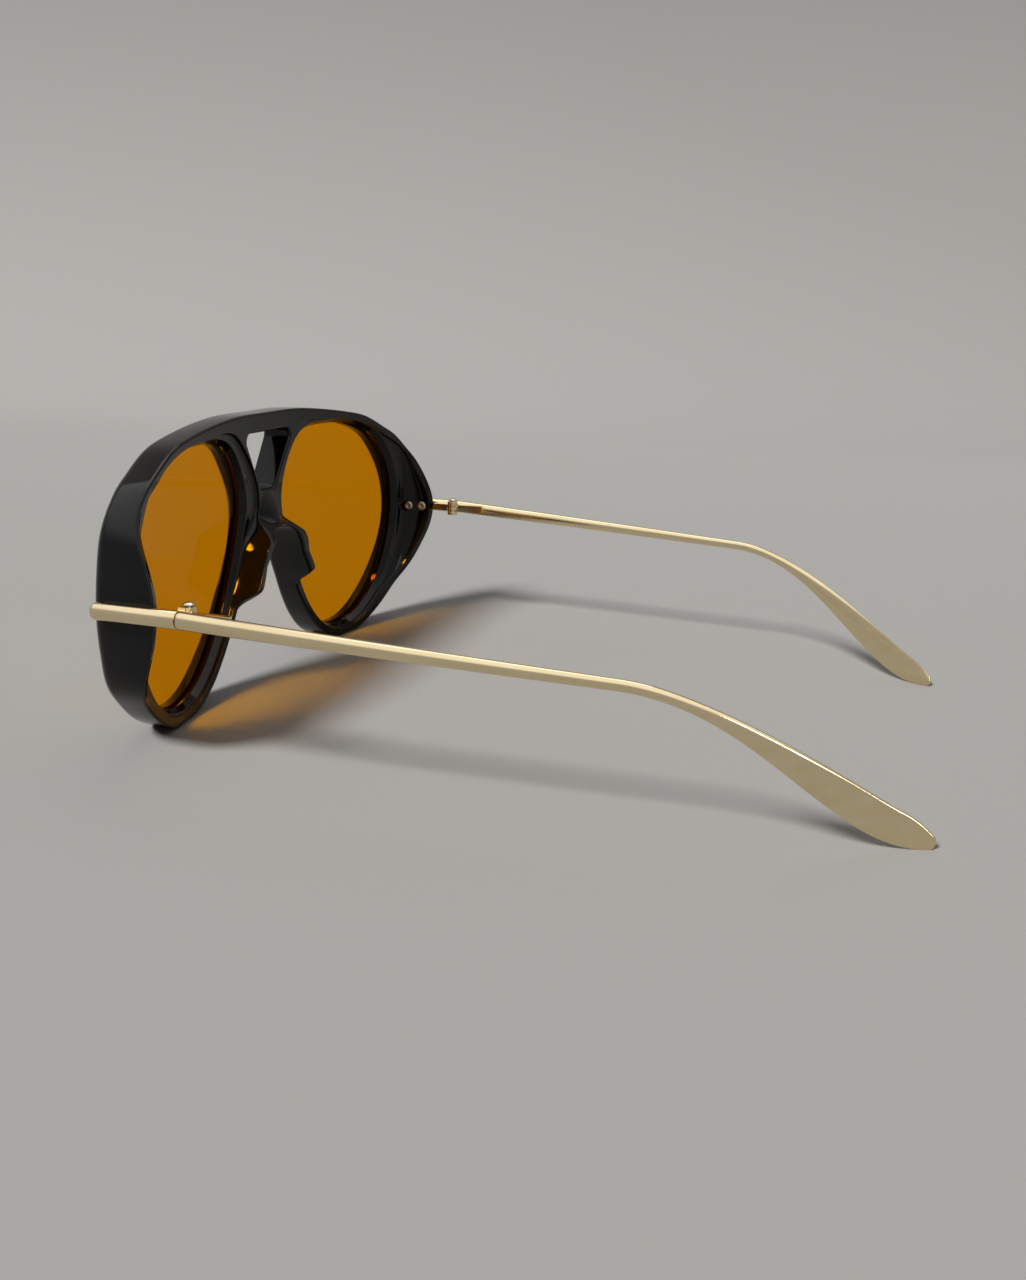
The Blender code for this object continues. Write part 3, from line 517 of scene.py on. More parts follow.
def amber_lens():
    """Clear amber plastic: lamps shine through it and colour the floor, and wiping leaves faint smears."""
    material = bpy.data.materials.new("amber lens")
    material.use_nodes = True
    nodes, links = material.node_tree.nodes, material.node_tree.links
    shader = nodes["Principled BSDF"]
    shader.inputs["Base Color"].default_value = (0.89, 0.335, 0.0006, 1.0)
    shader.inputs["Transmission Weight"].default_value = 1.0
    shader.inputs["IOR"].default_value = 1.08
    shader.inputs["Specular Tint"].default_value = (1.0, 0.62, 0.10, 1.0)
    add_polish(material, shader, 60.0, 1800.0, 0.0, 0.03, (1.0, 1.0, 1.0), 0.0000005)
    shadow_glow = nodes.new("ShaderNodeBsdfTransparent")
    shadow_glow.inputs["Color"].default_value = (0.37, 0.315, 0.004, 1.0)
    ray = nodes.new("ShaderNodeLightPath")
    mix = nodes.new("ShaderNodeMixShader")
    links.new(ray.outputs["Is Shadow Ray"], mix.inputs["Fac"])
    links.new(shader.outputs["BSDF"], mix.inputs[1])
    links.new(shadow_glow.outputs["BSDF"], mix.inputs[2])
    links.new(mix.outputs["Shader"], nodes["Material Output"].inputs["Surface"])
    return material


AMBER = amber_lens()
SIDES = (("left", 1), ("right", -1))
for side_name, side in SIDES:
    mesh = lens_mesh("amber_lens_" + side_name, side)
    add_piece("amber_lens_" + side_name, mesh, AMBER, "front", "lens_" + side_name)

# Endpieces: drawn rods of a nickel alloy, plated pale gold and polished along their length.
# Each lies on its wing by a narrow flat, and ends square at the hinge seam.
ROD_DIAMETER = 3.3
ROD_RADIUS = ROD_DIAMETER / 2
HINGE_HEIGHT = 31.2
ENDPIECE_OVERHANG = 6.2
ENDPIECE_NOSE = 1.0
ENDPIECE_FLAT = 0.35
NOSE_LENGTH = 0.7
NOSE_FLAT = 0.25
NOSE_START = 0.12
NOSE_STEPS = 14
SEAM_EDGE = ((0.12, 0.0), (0.03, 0.04), (0.0, 0.12))
ROD_SIDES = 64
BARREL_DIAMETER = 2.8
BARREL_RADIUS = BARREL_DIAMETER / 2
joint_place = {joint["name"]: joint["pos_m"] for joint in frame["joints"]}
AXIS_X = joint_place["left_fold"][0] / MM
SEAM_Y = joint_place["left_fold"][1] / MM - BACK_SHIFT
ROD_X = AXIS_X + BARREL_RADIUS + CLEARANCE + ROD_RADIUS
WING_X = ROD_X - CLEARANCE - ROD_RADIUS + ENDPIECE_FLAT
WING_REAR = SEAM_Y - ENDPIECE_OVERHANG
WING_FACE = float(face_y(WING_X, HINGE_HEIGHT))


def tube(name, rings):
    """Closed body through rings of equal count, with a flat cap at each end."""
    work = bmesh.new()
    rows = [[work.verts.new(placed(point)) for point in ring] for ring in rings]
    skin(work, rows)
    work.faces.new(rows[0])
    work.faces.new(rows[-1])
    return finished(work, name)


def turned(name, profile, origin, along, sides=ROD_SIDES):
    """Body of revolution from (distance, radius) pairs along an axis x, y or z."""
    axis = "xyz".index(along)
    rings = []
    for distance, radius in profile:
        ring = []
        for i in range(sides):
            angle = 2 * math.pi * (i + 0.5) / sides
            point = [0.0, 0.0, 0.0]
            point[axis] = distance
            point[(axis + 1) % 3] = radius * math.cos(angle)
            point[(axis + 2) % 3] = radius * math.sin(angle)
            ring.append([a + b for a, b in zip(point, origin)])
        rings.append(ring)
    return tube(name, rings)


def box(name, low, high):
    """Block between two opposite corners."""
    return tube(name, [[(low[0], y, low[2]), (high[0], y, low[2]), (high[0], y, high[2]), (low[0], y, high[2])]
                       for y in (low[1], high[1])])


def cut_mesh(mesh, *cutters):
    """The mesh with each cutter taken out of it."""
    target = bpy.data.objects.new("blank", mesh)
    bpy.context.scene.collection.objects.link(target)
    tools = []
    for cutter in cutters:
        tool = bpy.data.objects.new("cutter", cutter)
        bpy.context.scene.collection.objects.link(tool)
        boolean = target.modifiers.new("cut", "BOOLEAN")
        boolean.operation = "DIFFERENCE"
        boolean.object = tool
        tools.append(tool)
    graph = bpy.context.evaluated_depsgraph_get()
    result = bpy.data.meshes.new_from_object(target.evaluated_get(graph))
    result.name = mesh.name
    for leftover in [target] + tools:
        bpy.data.objects.remove(leftover)
    return result


def pale_gold(name, colour, worn, clear, hazy, stretch):
    """Pale champagne gold plate, its polish drawn out along the rod, with a faint warm cast where it wears."""
    material = bpy.data.materials.new(name)
    material.use_nodes = True
    nodes, links = material.node_tree.nodes, material.node_tree.links
    shader = nodes["Principled BSDF"]
    shader.inputs["Metallic"].default_value = 1.0
    group = add_polish(material, shader, 160.0, 2600.0, clear, hazy, stretch, 0.000001)
    tint = nodes.new("ShaderNodeMix")
    tint.data_type = "RGBA"
    tint.inputs["A"].default_value = colour
    tint.inputs["B"].default_value = worn
    links.new(group.outputs["Mask"], tint.inputs["Factor"])
    links.new(tint.outputs["Result"], shader.inputs["Base Color"])
    return material


GOLD_PLATE = (0.80, 0.67, 0.43, 1.0)
WORN_PLATE = (0.76, 0.62, 0.38, 1.0)
ROD_GOLD = pale_gold("pale gold rod", GOLD_PLATE, WORN_PLATE, 0.09, 0.13, (3.0, 0.4, 3.0))


def endpiece_mesh(name, side):
    """Rod with a blunt round nose, a broken edge at the seam and a flat where it lies on the wing."""
    start = WING_FACE + ENDPIECE_NOSE
    profile = []
    for angle in np.linspace(NOSE_START, math.pi / 2, NOSE_STEPS):
        radius = ROD_RADIUS * max(math.sin(angle), NOSE_FLAT)
        profile.append((start + ROD_RADIUS * NOSE_LENGTH * (1 - math.cos(angle)), radius))
    seam = SEAM_Y - CLEARANCE / 2
    profile += [(seam - before, ROD_RADIUS - less) for before, less in SEAM_EDGE]
    rod = turned(name, profile, (side * ROD_X, 0.0, HINGE_HEIGHT), "y")
    sides = sorted((side * (WING_X - ROD_RADIUS), side * (WING_X + CLEARANCE)))
    flat = box("flat", (sides[0], start - ROD_RADIUS, HINGE_HEIGHT - ROD_DIAMETER),
               (sides[1], WING_REAR + 2 * CLEARANCE, HINGE_HEIGHT + ROD_DIAMETER))
    return cut_mesh(rod, flat)


for side_name, side in SIDES:
    mesh = endpiece_mesh("gold_endpiece_" + side_name, side)
    add_piece("gold_endpiece_" + side_name, mesh, ROD_GOLD, "front", "endpiece_" + side_name)

# Rivets: two pins through each wing hold its endpiece, and their heads are peened on the wing's inner wall.
# Each head sits in a shallow seat and has the dimple that the peening punch left.
RIVET_DIAMETER = 1.3
RIVET_HEAD_DIAMETER = 2.5
RIVET_HEAD_THICKNESS = 0.5
RIVET_SIDES = 48
RIVET_DOME = ((0.42, 0.04), (0.38, 0.22), (0.16, 0.34), (0.02, 0.46), (0.0, 0.58), (0.06, 0.74), (0.24, 0.90),
              (0.5, 0.985), (0.72, 1.0))
DULL_PLATE = (0.52, 0.44, 0.34, 1.0)
DULL_WORN = (0.44, 0.36, 0.27, 1.0)
RIVET_GOLD = pale_gold("dull gold rivet", DULL_PLATE, DULL_WORN, 0.34, 0.45, (1.0, 1.0, 1.0))


def rivet_profile(crown, under_head):
    """Dimpled head and plain shank, as distances from the middle plane and radii."""
    head = RIVET_HEAD_DIAMETER / 2
    dome = [(crown + RIVET_HEAD_THICKNESS * depth, head * share) for depth, share in RIVET_DOME]
    return dome + [(under_head, head), (under_head, RIVET_DIAMETER / 2), (WING_X, RIVET_DIAMETER / 2)]


seats = []
for side_name, side in SIDES:
    for place in ("front", "rear"):
        node = f"rivet_{side_name}_{place}"
        low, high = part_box(node)
        middle_y = (low.y + high.y) / 2 / MM - BACK_SHIFT
        crown = min(abs(low.x), abs(high.x)) / MM
        under_head = crown + RIVET_HEAD_THICKNESS
        profile = [(side * x, r) for x, r in rivet_profile(crown, under_head)]
        mesh = turned("peened_" + node, profile, (0.0, middle_y, HINGE_HEIGHT), "x", RIVET_SIDES)
        add_piece("peened_" + node, mesh, RIVET_GOLD, "front", node)
        seat = under_head + CLEARANCE
        wide = RIVET_HEAD_DIAMETER / 2 + CLEARANCE
        narrow = RIVET_DIAMETER / 2 + CLEARANCE
        drill = [(side * x, r) for x, r in ((seat - RIM_TEMPLE / 2, wide), (seat, wide), (seat, narrow),
                                            (WING_X + RIM_TEMPLE / 2, narrow))]
        seats.append(turned("seat", drill, (0.0, middle_y, HINGE_HEIGHT), "x", RIVET_SIDES))
acetate_front.data = cut_mesh(acetate_front.data, *seats)

# Temples: gold rods that taper to a neck behind the hinge, bend down behind the ear and are pressed flat
# into blades with a straight back and a round belly. They are plated and polished all over.
TEMPLE_REACH = 130.0
TEMPLE_STRAIGHT = 78.5
TEMPLE_NECK_DIAMETER = 2.1
STRAIGHT_DROP = 3.7
STRAIGHT_INSET = 4.4
BEND_HANDLE = 21.0
TIP_HANDLE = 14.0
TIP_RISE = 3.5
TIP_INSET = 21.2
TIP_HEIGHT = 0.9
PADDLE_WIDTH = 6.3
PADDLE_THICKNESS = 1.2
PADDLE_LENGTH = 44.0
PADDLE_FLATNESS = 0.55
BELLY_LENGTH = 13.0
CROWN_LENGTH = 8.0
TIP_BLUNTNESS = 0.3
TIP_ROUND = 0.8
PADDLE_DOME = 0.35
INSET_POWER = 1.35
BEND_DIRECTION = (-0.02, 1.0, -0.045)
TIP_SLANT = 0.26
TIP_FLAT = 0.03
SHOULDER_STATIONS = (0.0, 0.0004, 0.001)
SHOULDER_EDGE = (0.12, 0.03, 0.0)
ROD_START = 0.004
TEMPLE_STATIONS = 180
TIP_STATIONS = 9
TEMPLE_SIDES = 56


def temple_path(s):
    """Centre line of the left temple at 0 (seam) to 1 (tip): a long straight run, then one falling curve."""
    start = np.array([ROD_X, SEAM_Y + CLEARANCE / 2, HINGE_HEIGHT])
    bend = np.array([ROD_X - STRAIGHT_INSET, SEAM_Y + TEMPLE_STRAIGHT, HINGE_HEIGHT - STRAIGHT_DROP])
    tip = np.array([ROD_X - TIP_INSET, SEAM_Y + TEMPLE_REACH, TIP_HEIGHT])
    bend_share = TEMPLE_STRAIGHT / TEMPLE_REACH
    if s < bend_share:
        t = s / bend_share
        point = start + (bend - start) * t
        point[0] = ROD_X - STRAIGHT_INSET * t**INSET_POWER
        return point
    t = (s - bend_share) / (1 - bend_share)
    first = bend + np.array(BEND_DIRECTION) * BEND_HANDLE
    last = tip + np.array([TIP_SLANT * TIP_HANDLE, -TIP_HANDLE, TIP_RISE])
    return bend * (1 - t) ** 3 + 3 * first * t * (1 - t) ** 2 + 3 * last * t * t * (1 - t) + tip * t**3


def temple_section(s):
    """Half thickness, half height above and below the centre line, and spread of the temple at 0 to 1."""
    to_tip = (1 - s) * TEMPLE_REACH
    spread = np.clip(1 - (to_tip - BELLY_LENGTH) / (PADDLE_LENGTH - BELLY_LENGTH), 0.0, 1.0)
    spread = spread * spread * (3 - 2 * spread)
    share = min(s * TEMPLE_REACH / TEMPLE_STRAIGHT, 1.0)
    radius = ROD_RADIUS + (TEMPLE_NECK_DIAMETER / 2 - ROD_RADIUS) * share
    tall = radius + (PADDLE_WIDTH / 2 - radius) * spread
    thick = radius + (PADDLE_THICKNESS / 2 - radius) * spread
    crown = 1 - (1 - TIP_BLUNTNESS) * max(1 - to_tip / CROWN_LENGTH, 0.0) ** 2
    belly = 1 - (1 - TIP_BLUNTNESS) * max(1 - to_tip / BELLY_LENGTH, 0.0) ** 2
    nose = math.sqrt(1 - (1 - np.clip(to_tip / TIP_ROUND, TIP_FLAT, 1.0)) ** 2)
    return thick * nose, tall * crown * nose, tall * belly * nose, spread


def temple_mesh(name, side):
    """Rings square to the centre line, round along the rod and flatter towards the tip.
    The blade's inner side is domed, and its lower edge is cut off where it meets the table."""
    rings = []
    nose_start = 1 - TIP_ROUND / TEMPLE_REACH
    quarter = np.radians(np.linspace(0.0, 90.0, TIP_STATIONS)[1:])
    nose = 1 - TIP_ROUND / TEMPLE_REACH * (1 - np.sin(quarter))
    stations = np.concatenate([SHOULDER_STATIONS, np.linspace(ROD_START, nose_start, TEMPLE_STATIONS), nose])
    for index, s in enumerate(stations):
        here = temple_path(s)
        ahead = temple_path(min(s + ROD_START, 1.0)) - temple_path(max(s - ROD_START, 0.0))
        ahead = ahead / np.linalg.norm(ahead)
        if s < ROD_START:
            ahead = np.array([0.0, 1.0, 0.0])
        up = np.array([0.0, 0.0, 1.0]) - ahead[2] * ahead
        up = up / np.linalg.norm(up)
        across = np.cross(ahead, up)
        thick, above, below, spread = temple_section(s)
        round_power = 1 - PADDLE_FLATNESS * spread
        dome_power = 0.5 + PADDLE_DOME * spread
        less = SHOULDER_EDGE[index] if index < len(SHOULDER_EDGE) else 0.0
        ring = []
        for i in range(TEMPLE_SIDES):
            angle = 2 * math.pi * (i + 0.5) / TEMPLE_SIDES
            c = abs(math.cos(angle)) ** round_power
            v = math.copysign(abs(math.sin(angle)) ** round_power, math.sin(angle))
            if math.cos(angle) < 0:
                c = -(1 - v * v) ** dome_power
            point = here + across * (thick - less) * c + up * ((above if v > 0 else below) - less) * v
            ring.append((side * point[0], point[1], max(point[2], 0.0)))
        rings.append(ring)
    return tube(name, rings)


for side_name, side in SIDES:
    mesh = temple_mesh("gold_temple_" + side_name, side)
    add_piece("gold_temple_" + side_name, mesh, ROD_GOLD, side_name + "_temple", "temple_" + side_name)

# Hinges: milled leaves, two knuckles on the endpiece and one on the temple, soldered behind the rods.
# A slotted steel screw drops through the three knuckles and is the pin that the temple turns on.
BARREL_HEIGHT = 3.6
BARREL_LOW = HINGE_HEIGHT - BARREL_HEIGHT / 2
BARREL_TOP = HINGE_HEIGHT + BARREL_HEIGHT / 2
LEAF_LENGTH = 8.6
LEAF_HEIGHT = 1.8
KNUCKLE_HEIGHT = 1.1
SCREW_DIAMETER = 1.0
SCREW_HEAD_DIAMETER = 2.2
SCREW_HEAD_THICKNESS = 0.6
SCREW_SLOT = 0.35
SCREW_EDGE = 0.08
SCREW_RIM = 0.3
SCREW_DOME = (12.0, 84.0)
SCREW_STEPS = 9
LEAF_EDGE = 0.12
SOFT_ANGLE = math.radians(40.0)
BARREL_STEPS = 49
OVERCUT = 1.0

HINGE_GOLD = pale_gold("pale gold hinge", GOLD_PLATE, WORN_PLATE, 0.10, 0.18, (1.0, 1.0, 1.0))


def turned_steel():
    """Plated steel with the rings that turning left on the screw's head."""
    material = bpy.data.materials.new("turned steel")
    material.use_nodes = True
    shader = material.node_tree.nodes["Principled BSDF"]
    shader.inputs["Base Color"].default_value = (0.78, 0.72, 0.60, 1.0)
    shader.inputs["Metallic"].default_value = 1.0
    add_polish(material, shader, 900.0, 5200.0, 0.14, 0.30, (1.0, 1.0, 1.0), 0.000004)
    return material


TURNED_STEEL = turned_steel()


def leaf_mesh(name, side, direction, length, end_reach, half_height):
    """Leaf with a round barrel end, seen from above; direction is -1 for a leaf that runs forwards."""
    outline = [(length, end_reach)]
    for angle in np.linspace(math.pi / 2, 2 * math.pi, BARREL_STEPS):
        outline.append((BARREL_RADIUS * math.cos(angle), BARREL_RADIUS * math.sin(angle)))
    outline.append((length, 0.0))
    return tube(name, [[(side * (AXIS_X + out), SEAM_Y + direction * along, HINGE_HEIGHT + height)
                        for along, out in outline] for height in (-half_height, half_height)])


def barrel(name, side, radius, low, high):
    """Upright cylinder on the axis of the hinge."""
    return turned(name, ((low, radius), (high, radius)), (side * AXIS_X, SEAM_Y, 0.0), "z")


def screw_bore(side):
    """The hole for the screw, right through the three knuckles."""
    return barrel("bore", side, SCREW_DIAMETER / 2 + CLEARANCE, BARREL_LOW - OVERCUT, BARREL_TOP + OVERCUT)


def soften(piece, width, segments=3):
    """Breaks the sharp edges of a milled piece."""
    bevel = piece.modifiers.new("soft edges", "BEVEL")
    bevel.width = width * MM
    bevel.segments = segments
    bevel.limit_method = "ANGLE"
    bevel.angle_limit = SOFT_ANGLE
    bevel.harden_normals = True


def front_leaf_mesh(name, side):
    """Leaf of the endpiece: an upper and a lower knuckle, with a gap between them for the temple's knuckle."""
    blank = leaf_mesh(name, side, -1, ENDPIECE_OVERHANG - 2 * CLEARANCE, BARREL_RADIUS, BARREL_HEIGHT / 2)
    half_gap = KNUCKLE_HEIGHT / 2 + CLEARANCE
    inner, outer = sorted((side * (AXIS_X - BARREL_RADIUS), side * (AXIS_X + BARREL_DIAMETER)))
    spares = [box("spare", (inner, SEAM_Y - 2 * ENDPIECE_OVERHANG, low), (outer, SEAM_Y - BARREL_RADIUS, high))
              for low, high in ((HINGE_HEIGHT + LEAF_HEIGHT / 2, BARREL_TOP + LEAF_HEIGHT),
                                (BARREL_LOW - LEAF_HEIGHT, HINGE_HEIGHT - LEAF_HEIGHT / 2))]
    notch = barrel("notch", side, BARREL_RADIUS + CLEARANCE, HINGE_HEIGHT - half_gap, HINGE_HEIGHT + half_gap)
    return cut_mesh(blank, notch, screw_bore(side), *spares)


def temple_leaf_mesh(name, side, end_reach):
    """Leaf of the temple, with its one knuckle at half height."""
    blank = leaf_mesh(name, side, 1, LEAF_LENGTH, end_reach, LEAF_HEIGHT / 2)
    half_knuckle = KNUCKLE_HEIGHT / 2
    notches = [barrel("notch", side, BARREL_RADIUS + CLEARANCE, low, high)
               for low, high in ((HINGE_HEIGHT + half_knuckle, BARREL_TOP + OVERCUT),
                                 (BARREL_LOW - OVERCUT, HINGE_HEIGHT - half_knuckle))]
    return cut_mesh(blank, *notches, screw_bore(side))


def screw_mesh(name, side):
    """Plain pin with a domed head, slotted from front to back."""
    head_low = BARREL_TOP + CLEARANCE
    head = SCREW_HEAD_DIAMETER / 2
    profile = [(BARREL_LOW, SCREW_DIAMETER / 2), (head_low, SCREW_DIAMETER / 2), (head_low, head - SCREW_EDGE),
               (head_low + SCREW_EDGE, head), (head_low + SCREW_RIM * SCREW_HEAD_THICKNESS, head)]
    for angle in np.radians(np.linspace(*SCREW_DOME, SCREW_STEPS)):
        rise = SCREW_RIM + (1 - SCREW_RIM) * math.sin(angle)
        profile.append((head_low + SCREW_HEAD_THICKNESS * rise, head * math.cos(angle)))
    top = head_low + SCREW_HEAD_THICKNESS
    axis_x = side * AXIS_X
    slot = box("slot", (axis_x - SCREW_SLOT / 2, SEAM_Y - SCREW_HEAD_DIAMETER, top - SCREW_SLOT),
               (axis_x + SCREW_SLOT / 2, SEAM_Y + SCREW_HEAD_DIAMETER, top + SCREW_SLOT))
    return cut_mesh(turned(name, profile, (axis_x, SEAM_Y, 0.0), "z"), slot)


leaf_end = temple_path(LEAF_LENGTH / TEMPLE_REACH)[0] - ROD_RADIUS - CLEARANCE - AXIS_X
for side_name, side in SIDES:
    mesh = front_leaf_mesh("front_leaf_" + side_name, side)
    front_leaf = add_piece("front_leaf_" + side_name, mesh, HINGE_GOLD, "front",
                           "hinge_front_" + side_name)
    mesh = temple_leaf_mesh("temple_leaf_" + side_name, side, leaf_end)
    temple_leaf = add_piece("temple_leaf_" + side_name, mesh, HINGE_GOLD, side_name + "_temple",
                            "hinge_temple_" + side_name)
    soften(front_leaf, LEAF_EDGE)
    soften(temple_leaf, LEAF_EDGE)
    mesh = screw_mesh("slotted_screw_" + side_name, side)
    add_piece("slotted_screw_" + side_name, mesh, TURNED_STEEL, "front", "hinge_screw_" + side_name)

# Floor: a plain sheet, painted pale and matt, that the sunglasses stand on. It sweeps up into a backdrop behind
# them, made greyer there with painted shade, so that no horizon shows from the photograph's side.
VIEW_AZIMUTH = math.radians(107.423)
VIEW_ELEVATION = math.radians(15.343)
VIEW_ROLL = math.radians(1.546)
FLOOR_HALF_WIDTH = 8.0
FLOOR_NEAR = 8.0
SWEEP_START = 0.55
SWEEP_RADIUS = 0.5
SWEEP_STEPS = 30
WALL_HEIGHT = 1.6
FADE_TURN = 0.3


def sweep_profile():
    """Distance away from the camera and height of the sheet, from the near edge to the top of the wall."""
    points = [(-FLOOR_NEAR, 0.0), (0.0, 0.0), (SWEEP_START, 0.0)]
    for angle in np.radians(np.linspace(3.0, 90.0, SWEEP_STEPS)):
        points.append((SWEEP_START + SWEEP_RADIUS * math.sin(angle), SWEEP_RADIUS * (1 - math.cos(angle))))
    return points + [(SWEEP_START + SWEEP_RADIUS, WALL_HEIGHT)]


away = Vector((-math.sin(VIEW_AZIMUTH), math.cos(VIEW_AZIMUTH), 0.0))
sideways = away.cross(Vector((0.0, 0.0, 1.0)))


def floor_paint_and_shade():
    """Pale paint, greyer up the sweep, which faces the window: that grey is painted shade."""
    material = bpy.data.materials.new("pale floor")
    material.use_nodes = True
    nodes, links = material.node_tree.nodes, material.node_tree.links
    shader = nodes["Principled BSDF"]
    shader.inputs["Roughness"].default_value = 0.62
    shader.inputs["Specular IOR Level"].default_value = 0.0
    place = nodes.new("ShaderNodeTexCoord")
    along = nodes.new("ShaderNodeVectorMath")
    along.operation = "DOT_PRODUCT"
    along.inputs[1].default_value = away + FADE_TURN * sideways
    ramp = nodes.new("ShaderNodeMapRange")
    ramp.inputs["From Min"].default_value = SWEEP_START
    ramp.inputs["From Max"].default_value = SWEEP_START + SWEEP_RADIUS
    # Painted shade: the pale floor colour turns to a greyer one up the sweep.
    paint_and_shade = nodes.new("ShaderNodeMix")
    paint_and_shade.data_type = "RGBA"
    paint_and_shade.inputs["A"].default_value = (0.425, 0.421, 0.410, 1.0)
    paint_and_shade.inputs["B"].default_value = (0.340, 0.332, 0.325, 1.0)
    links.new(place.outputs["Object"], along.inputs[0])
    links.new(along.outputs["Value"], ramp.inputs["Value"])
    links.new(ramp.outputs["Result"], paint_and_shade.inputs["Factor"])
    links.new(paint_and_shade.outputs["Result"], shader.inputs["Base Color"])
    return material


sheet_rows = [[away * far + sideways * across + Vector((0.0, 0.0, height))
               for across in (-FLOOR_HALF_WIDTH, FLOOR_HALF_WIDTH)] for far, height in sweep_profile()]
sheet_points = [point for row in sheet_rows for point in row]
sheet_faces = [(2 * i, 2 * i + 1, 2 * i + 3, 2 * i + 2) for i in range(len(sheet_rows) - 1)]
sheet_mesh = bpy.data.meshes.new("floor")
sheet_mesh.from_pydata(sheet_points, [], sheet_faces)
sheet_mesh.shade_smooth()
sheet_mesh.materials.append(floor_paint_and_shade())
floor = bpy.data.objects.new("floor", sheet_mesh)
bpy.context.scene.collection.objects.link(floor)

# Light: one soft window from the wearer's left and front and a dim ceiling light the sunglasses, and a narrow
# doorway shows in their gloss alone. The room round them is as pale as the backdrop, under a brighter ceiling.
WINDOW_AZIMUTH = math.radians(66.0)
WINDOW_ELEVATION = math.radians(44.0)
WINDOW_ANGLE = math.radians(14.0)
WINDOW_STRENGTH = 3.2
DOOR_AZIMUTH = math.radians(152.0)
DOOR_ELEVATION = math.radians(20.0)
DOOR_DISTANCE = 1.2
DOOR_SIZE = (0.12, 0.70)
DOOR_POWER = 1.6
CEILING_ELEVATION = math.radians(58.0)
CEILING_DISTANCE = 1.4
CEILING_SIZE = (0.8, 0.8)
CEILING_POWER = 1.6


def bearing(azimuth, elevation):
    """Unit direction from the sunglasses: azimuth 0 is in front of them and 90 degrees on the wearer's left."""
    return Vector((math.sin(azimuth) * math.cos(elevation), -math.cos(azimuth) * math.cos(elevation),
                   math.sin(elevation)))


def add_lamp(name, lamp, azimuth, elevation, distance):
    """Stands a lamp off in one direction and turns it to the sunglasses."""
    back = bearing(azimuth, elevation)
    obj = bpy.data.objects.new(name, lamp)
    obj.location = back * distance
    obj.rotation_euler = back.to_track_quat("Z", "Y").to_euler()
    bpy.context.scene.collection.objects.link(obj)
    return obj


def panel(name, size, power):
    """A flat soft lamp, so wide and so high."""
    lamp = bpy.data.lights.new(name, "AREA")
    lamp.shape = "RECTANGLE"
    lamp.size, lamp.size_y = size
    lamp.energy = power
    return lamp


window = bpy.data.lights.new("window", "SUN")
window.angle = WINDOW_ANGLE
window.energy = WINDOW_STRENGTH
window.color = (1.0, 0.985, 0.96)
daylight = add_lamp("window", window, WINDOW_AZIMUTH, WINDOW_ELEVATION, 1.0)
daylight.visible_glossy = False
door_panel = panel("doorway", DOOR_SIZE, DOOR_POWER)
doorway = add_lamp("doorway", door_panel, DOOR_AZIMUTH, DOOR_ELEVATION, DOOR_DISTANCE)
doorway.visible_diffuse = False
ceiling_panel = panel("ceiling", CEILING_SIZE, CEILING_POWER)
add_lamp("ceiling", ceiling_panel, VIEW_AZIMUTH + math.pi, CEILING_ELEVATION, CEILING_DISTANCE)

world = bpy.data.worlds.new("room")
bpy.context.scene.world = world
world.use_nodes = True
air = world.node_tree.nodes
wires = world.node_tree.links
look = air.new("ShaderNodeTexCoord")
parts = air.new("ShaderNodeSeparateXYZ")


def height_ramp(low, high, dim, bright):
    """The room's brightness, from dim below one height of the sky to bright above another."""
    ramp = air.new("ShaderNodeMapRange")
    ramp.interpolation_type = "SMOOTHSTEP"
    ramp.inputs["From Min"].default_value = low
    ramp.inputs["From Max"].default_value = high
    ramp.inputs["To Min"].default_value = dim
    ramp.inputs["To Max"].default_value = bright
    wires.new(parts.outputs["Z"], ramp.inputs["Value"])
    return ramp.outputs["Result"]


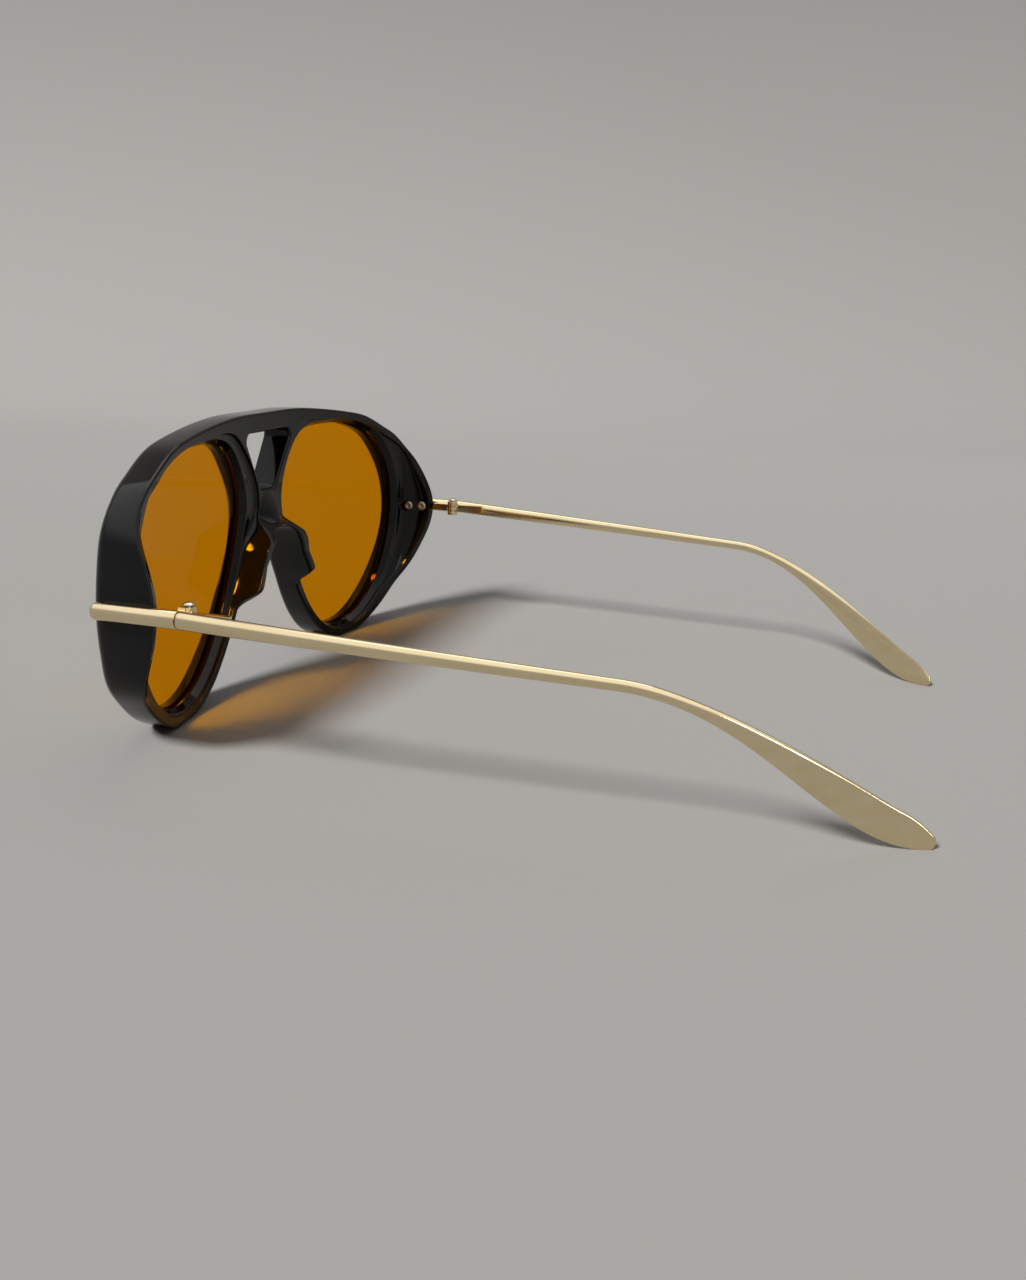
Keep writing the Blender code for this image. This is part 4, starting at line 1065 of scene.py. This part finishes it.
# The camera, metal and glass all see the room as pale as the backdrop, and metal mirrors a brighter ceiling.
# What the room adds to the light on matt surfaces is dimmer.
PALE_ROOM = 0.42
BRIGHT_CEILING = 1.15
GLOSS_HEIGHTS = (0.40, 0.80)
DIM_ROOM = 0.05
DIM_CEILING = 0.19
MATT_HEIGHTS = (0.25, 0.85)
ray = air.new("ShaderNodeLightPath")
mirrored = air.new("ShaderNodeMix")
seen = air.new("ShaderNodeMath")
seen.operation = "MAXIMUM"
pale = air.new("ShaderNodeMix")
pale.inputs["B"].default_value = PALE_ROOM
wires.new(look.outputs["Generated"], parts.inputs["Vector"])
wires.new(ray.outputs["Is Glossy Ray"], mirrored.inputs["Factor"])
wires.new(height_ramp(*MATT_HEIGHTS, DIM_ROOM, DIM_CEILING), mirrored.inputs["A"])
wires.new(height_ramp(*GLOSS_HEIGHTS, PALE_ROOM, BRIGHT_CEILING), mirrored.inputs["B"])
wires.new(ray.outputs["Is Camera Ray"], seen.inputs[0])
wires.new(ray.outputs["Is Transmission Ray"], seen.inputs[1])
wires.new(seen.outputs["Value"], pale.inputs["Factor"])
wires.new(mirrored.outputs["Result"], pale.inputs["A"])
wires.new(pale.outputs["Result"], air["Background"].inputs["Strength"])
air["Background"].inputs["Color"].default_value = (1.0, 0.985, 0.97, 1.0)

# Camera: stands behind the wearer's left shoulder and looks down a little, as the photograph does.
# Its place and focal length were fitted to points of the photograph that mirror each other.
CAMERA_PLACE = Vector((0.250086, 0.066976, 0.086130))
FOCAL_PIXELS = 1220.0
FRAME_HEIGHT = 1280.0
SENSOR = 36.0
back = bearing(VIEW_AZIMUTH, VIEW_ELEVATION)
level = (-back).cross(Vector((0.0, 0.0, 1.0))).normalized()
upright = level.cross(-back)
right = level * math.cos(VIEW_ROLL) + upright * math.sin(VIEW_ROLL)
up = upright * math.cos(VIEW_ROLL) - level * math.sin(VIEW_ROLL)
stand = Matrix((right, up, back)).transposed().to_4x4()
stand.translation = CAMERA_PLACE
camera = bpy.data.objects.new("camera", bpy.data.cameras.new("camera"))
camera.data.sensor_width = SENSOR
camera.data.lens = FOCAL_PIXELS / FRAME_HEIGHT * SENSOR
camera.data.clip_start = 0.001
camera.matrix_world = stand
bpy.context.scene.collection.objects.link(camera)
bpy.context.scene.camera = camera
bpy.context.scene.view_settings.view_transform = "Standard"
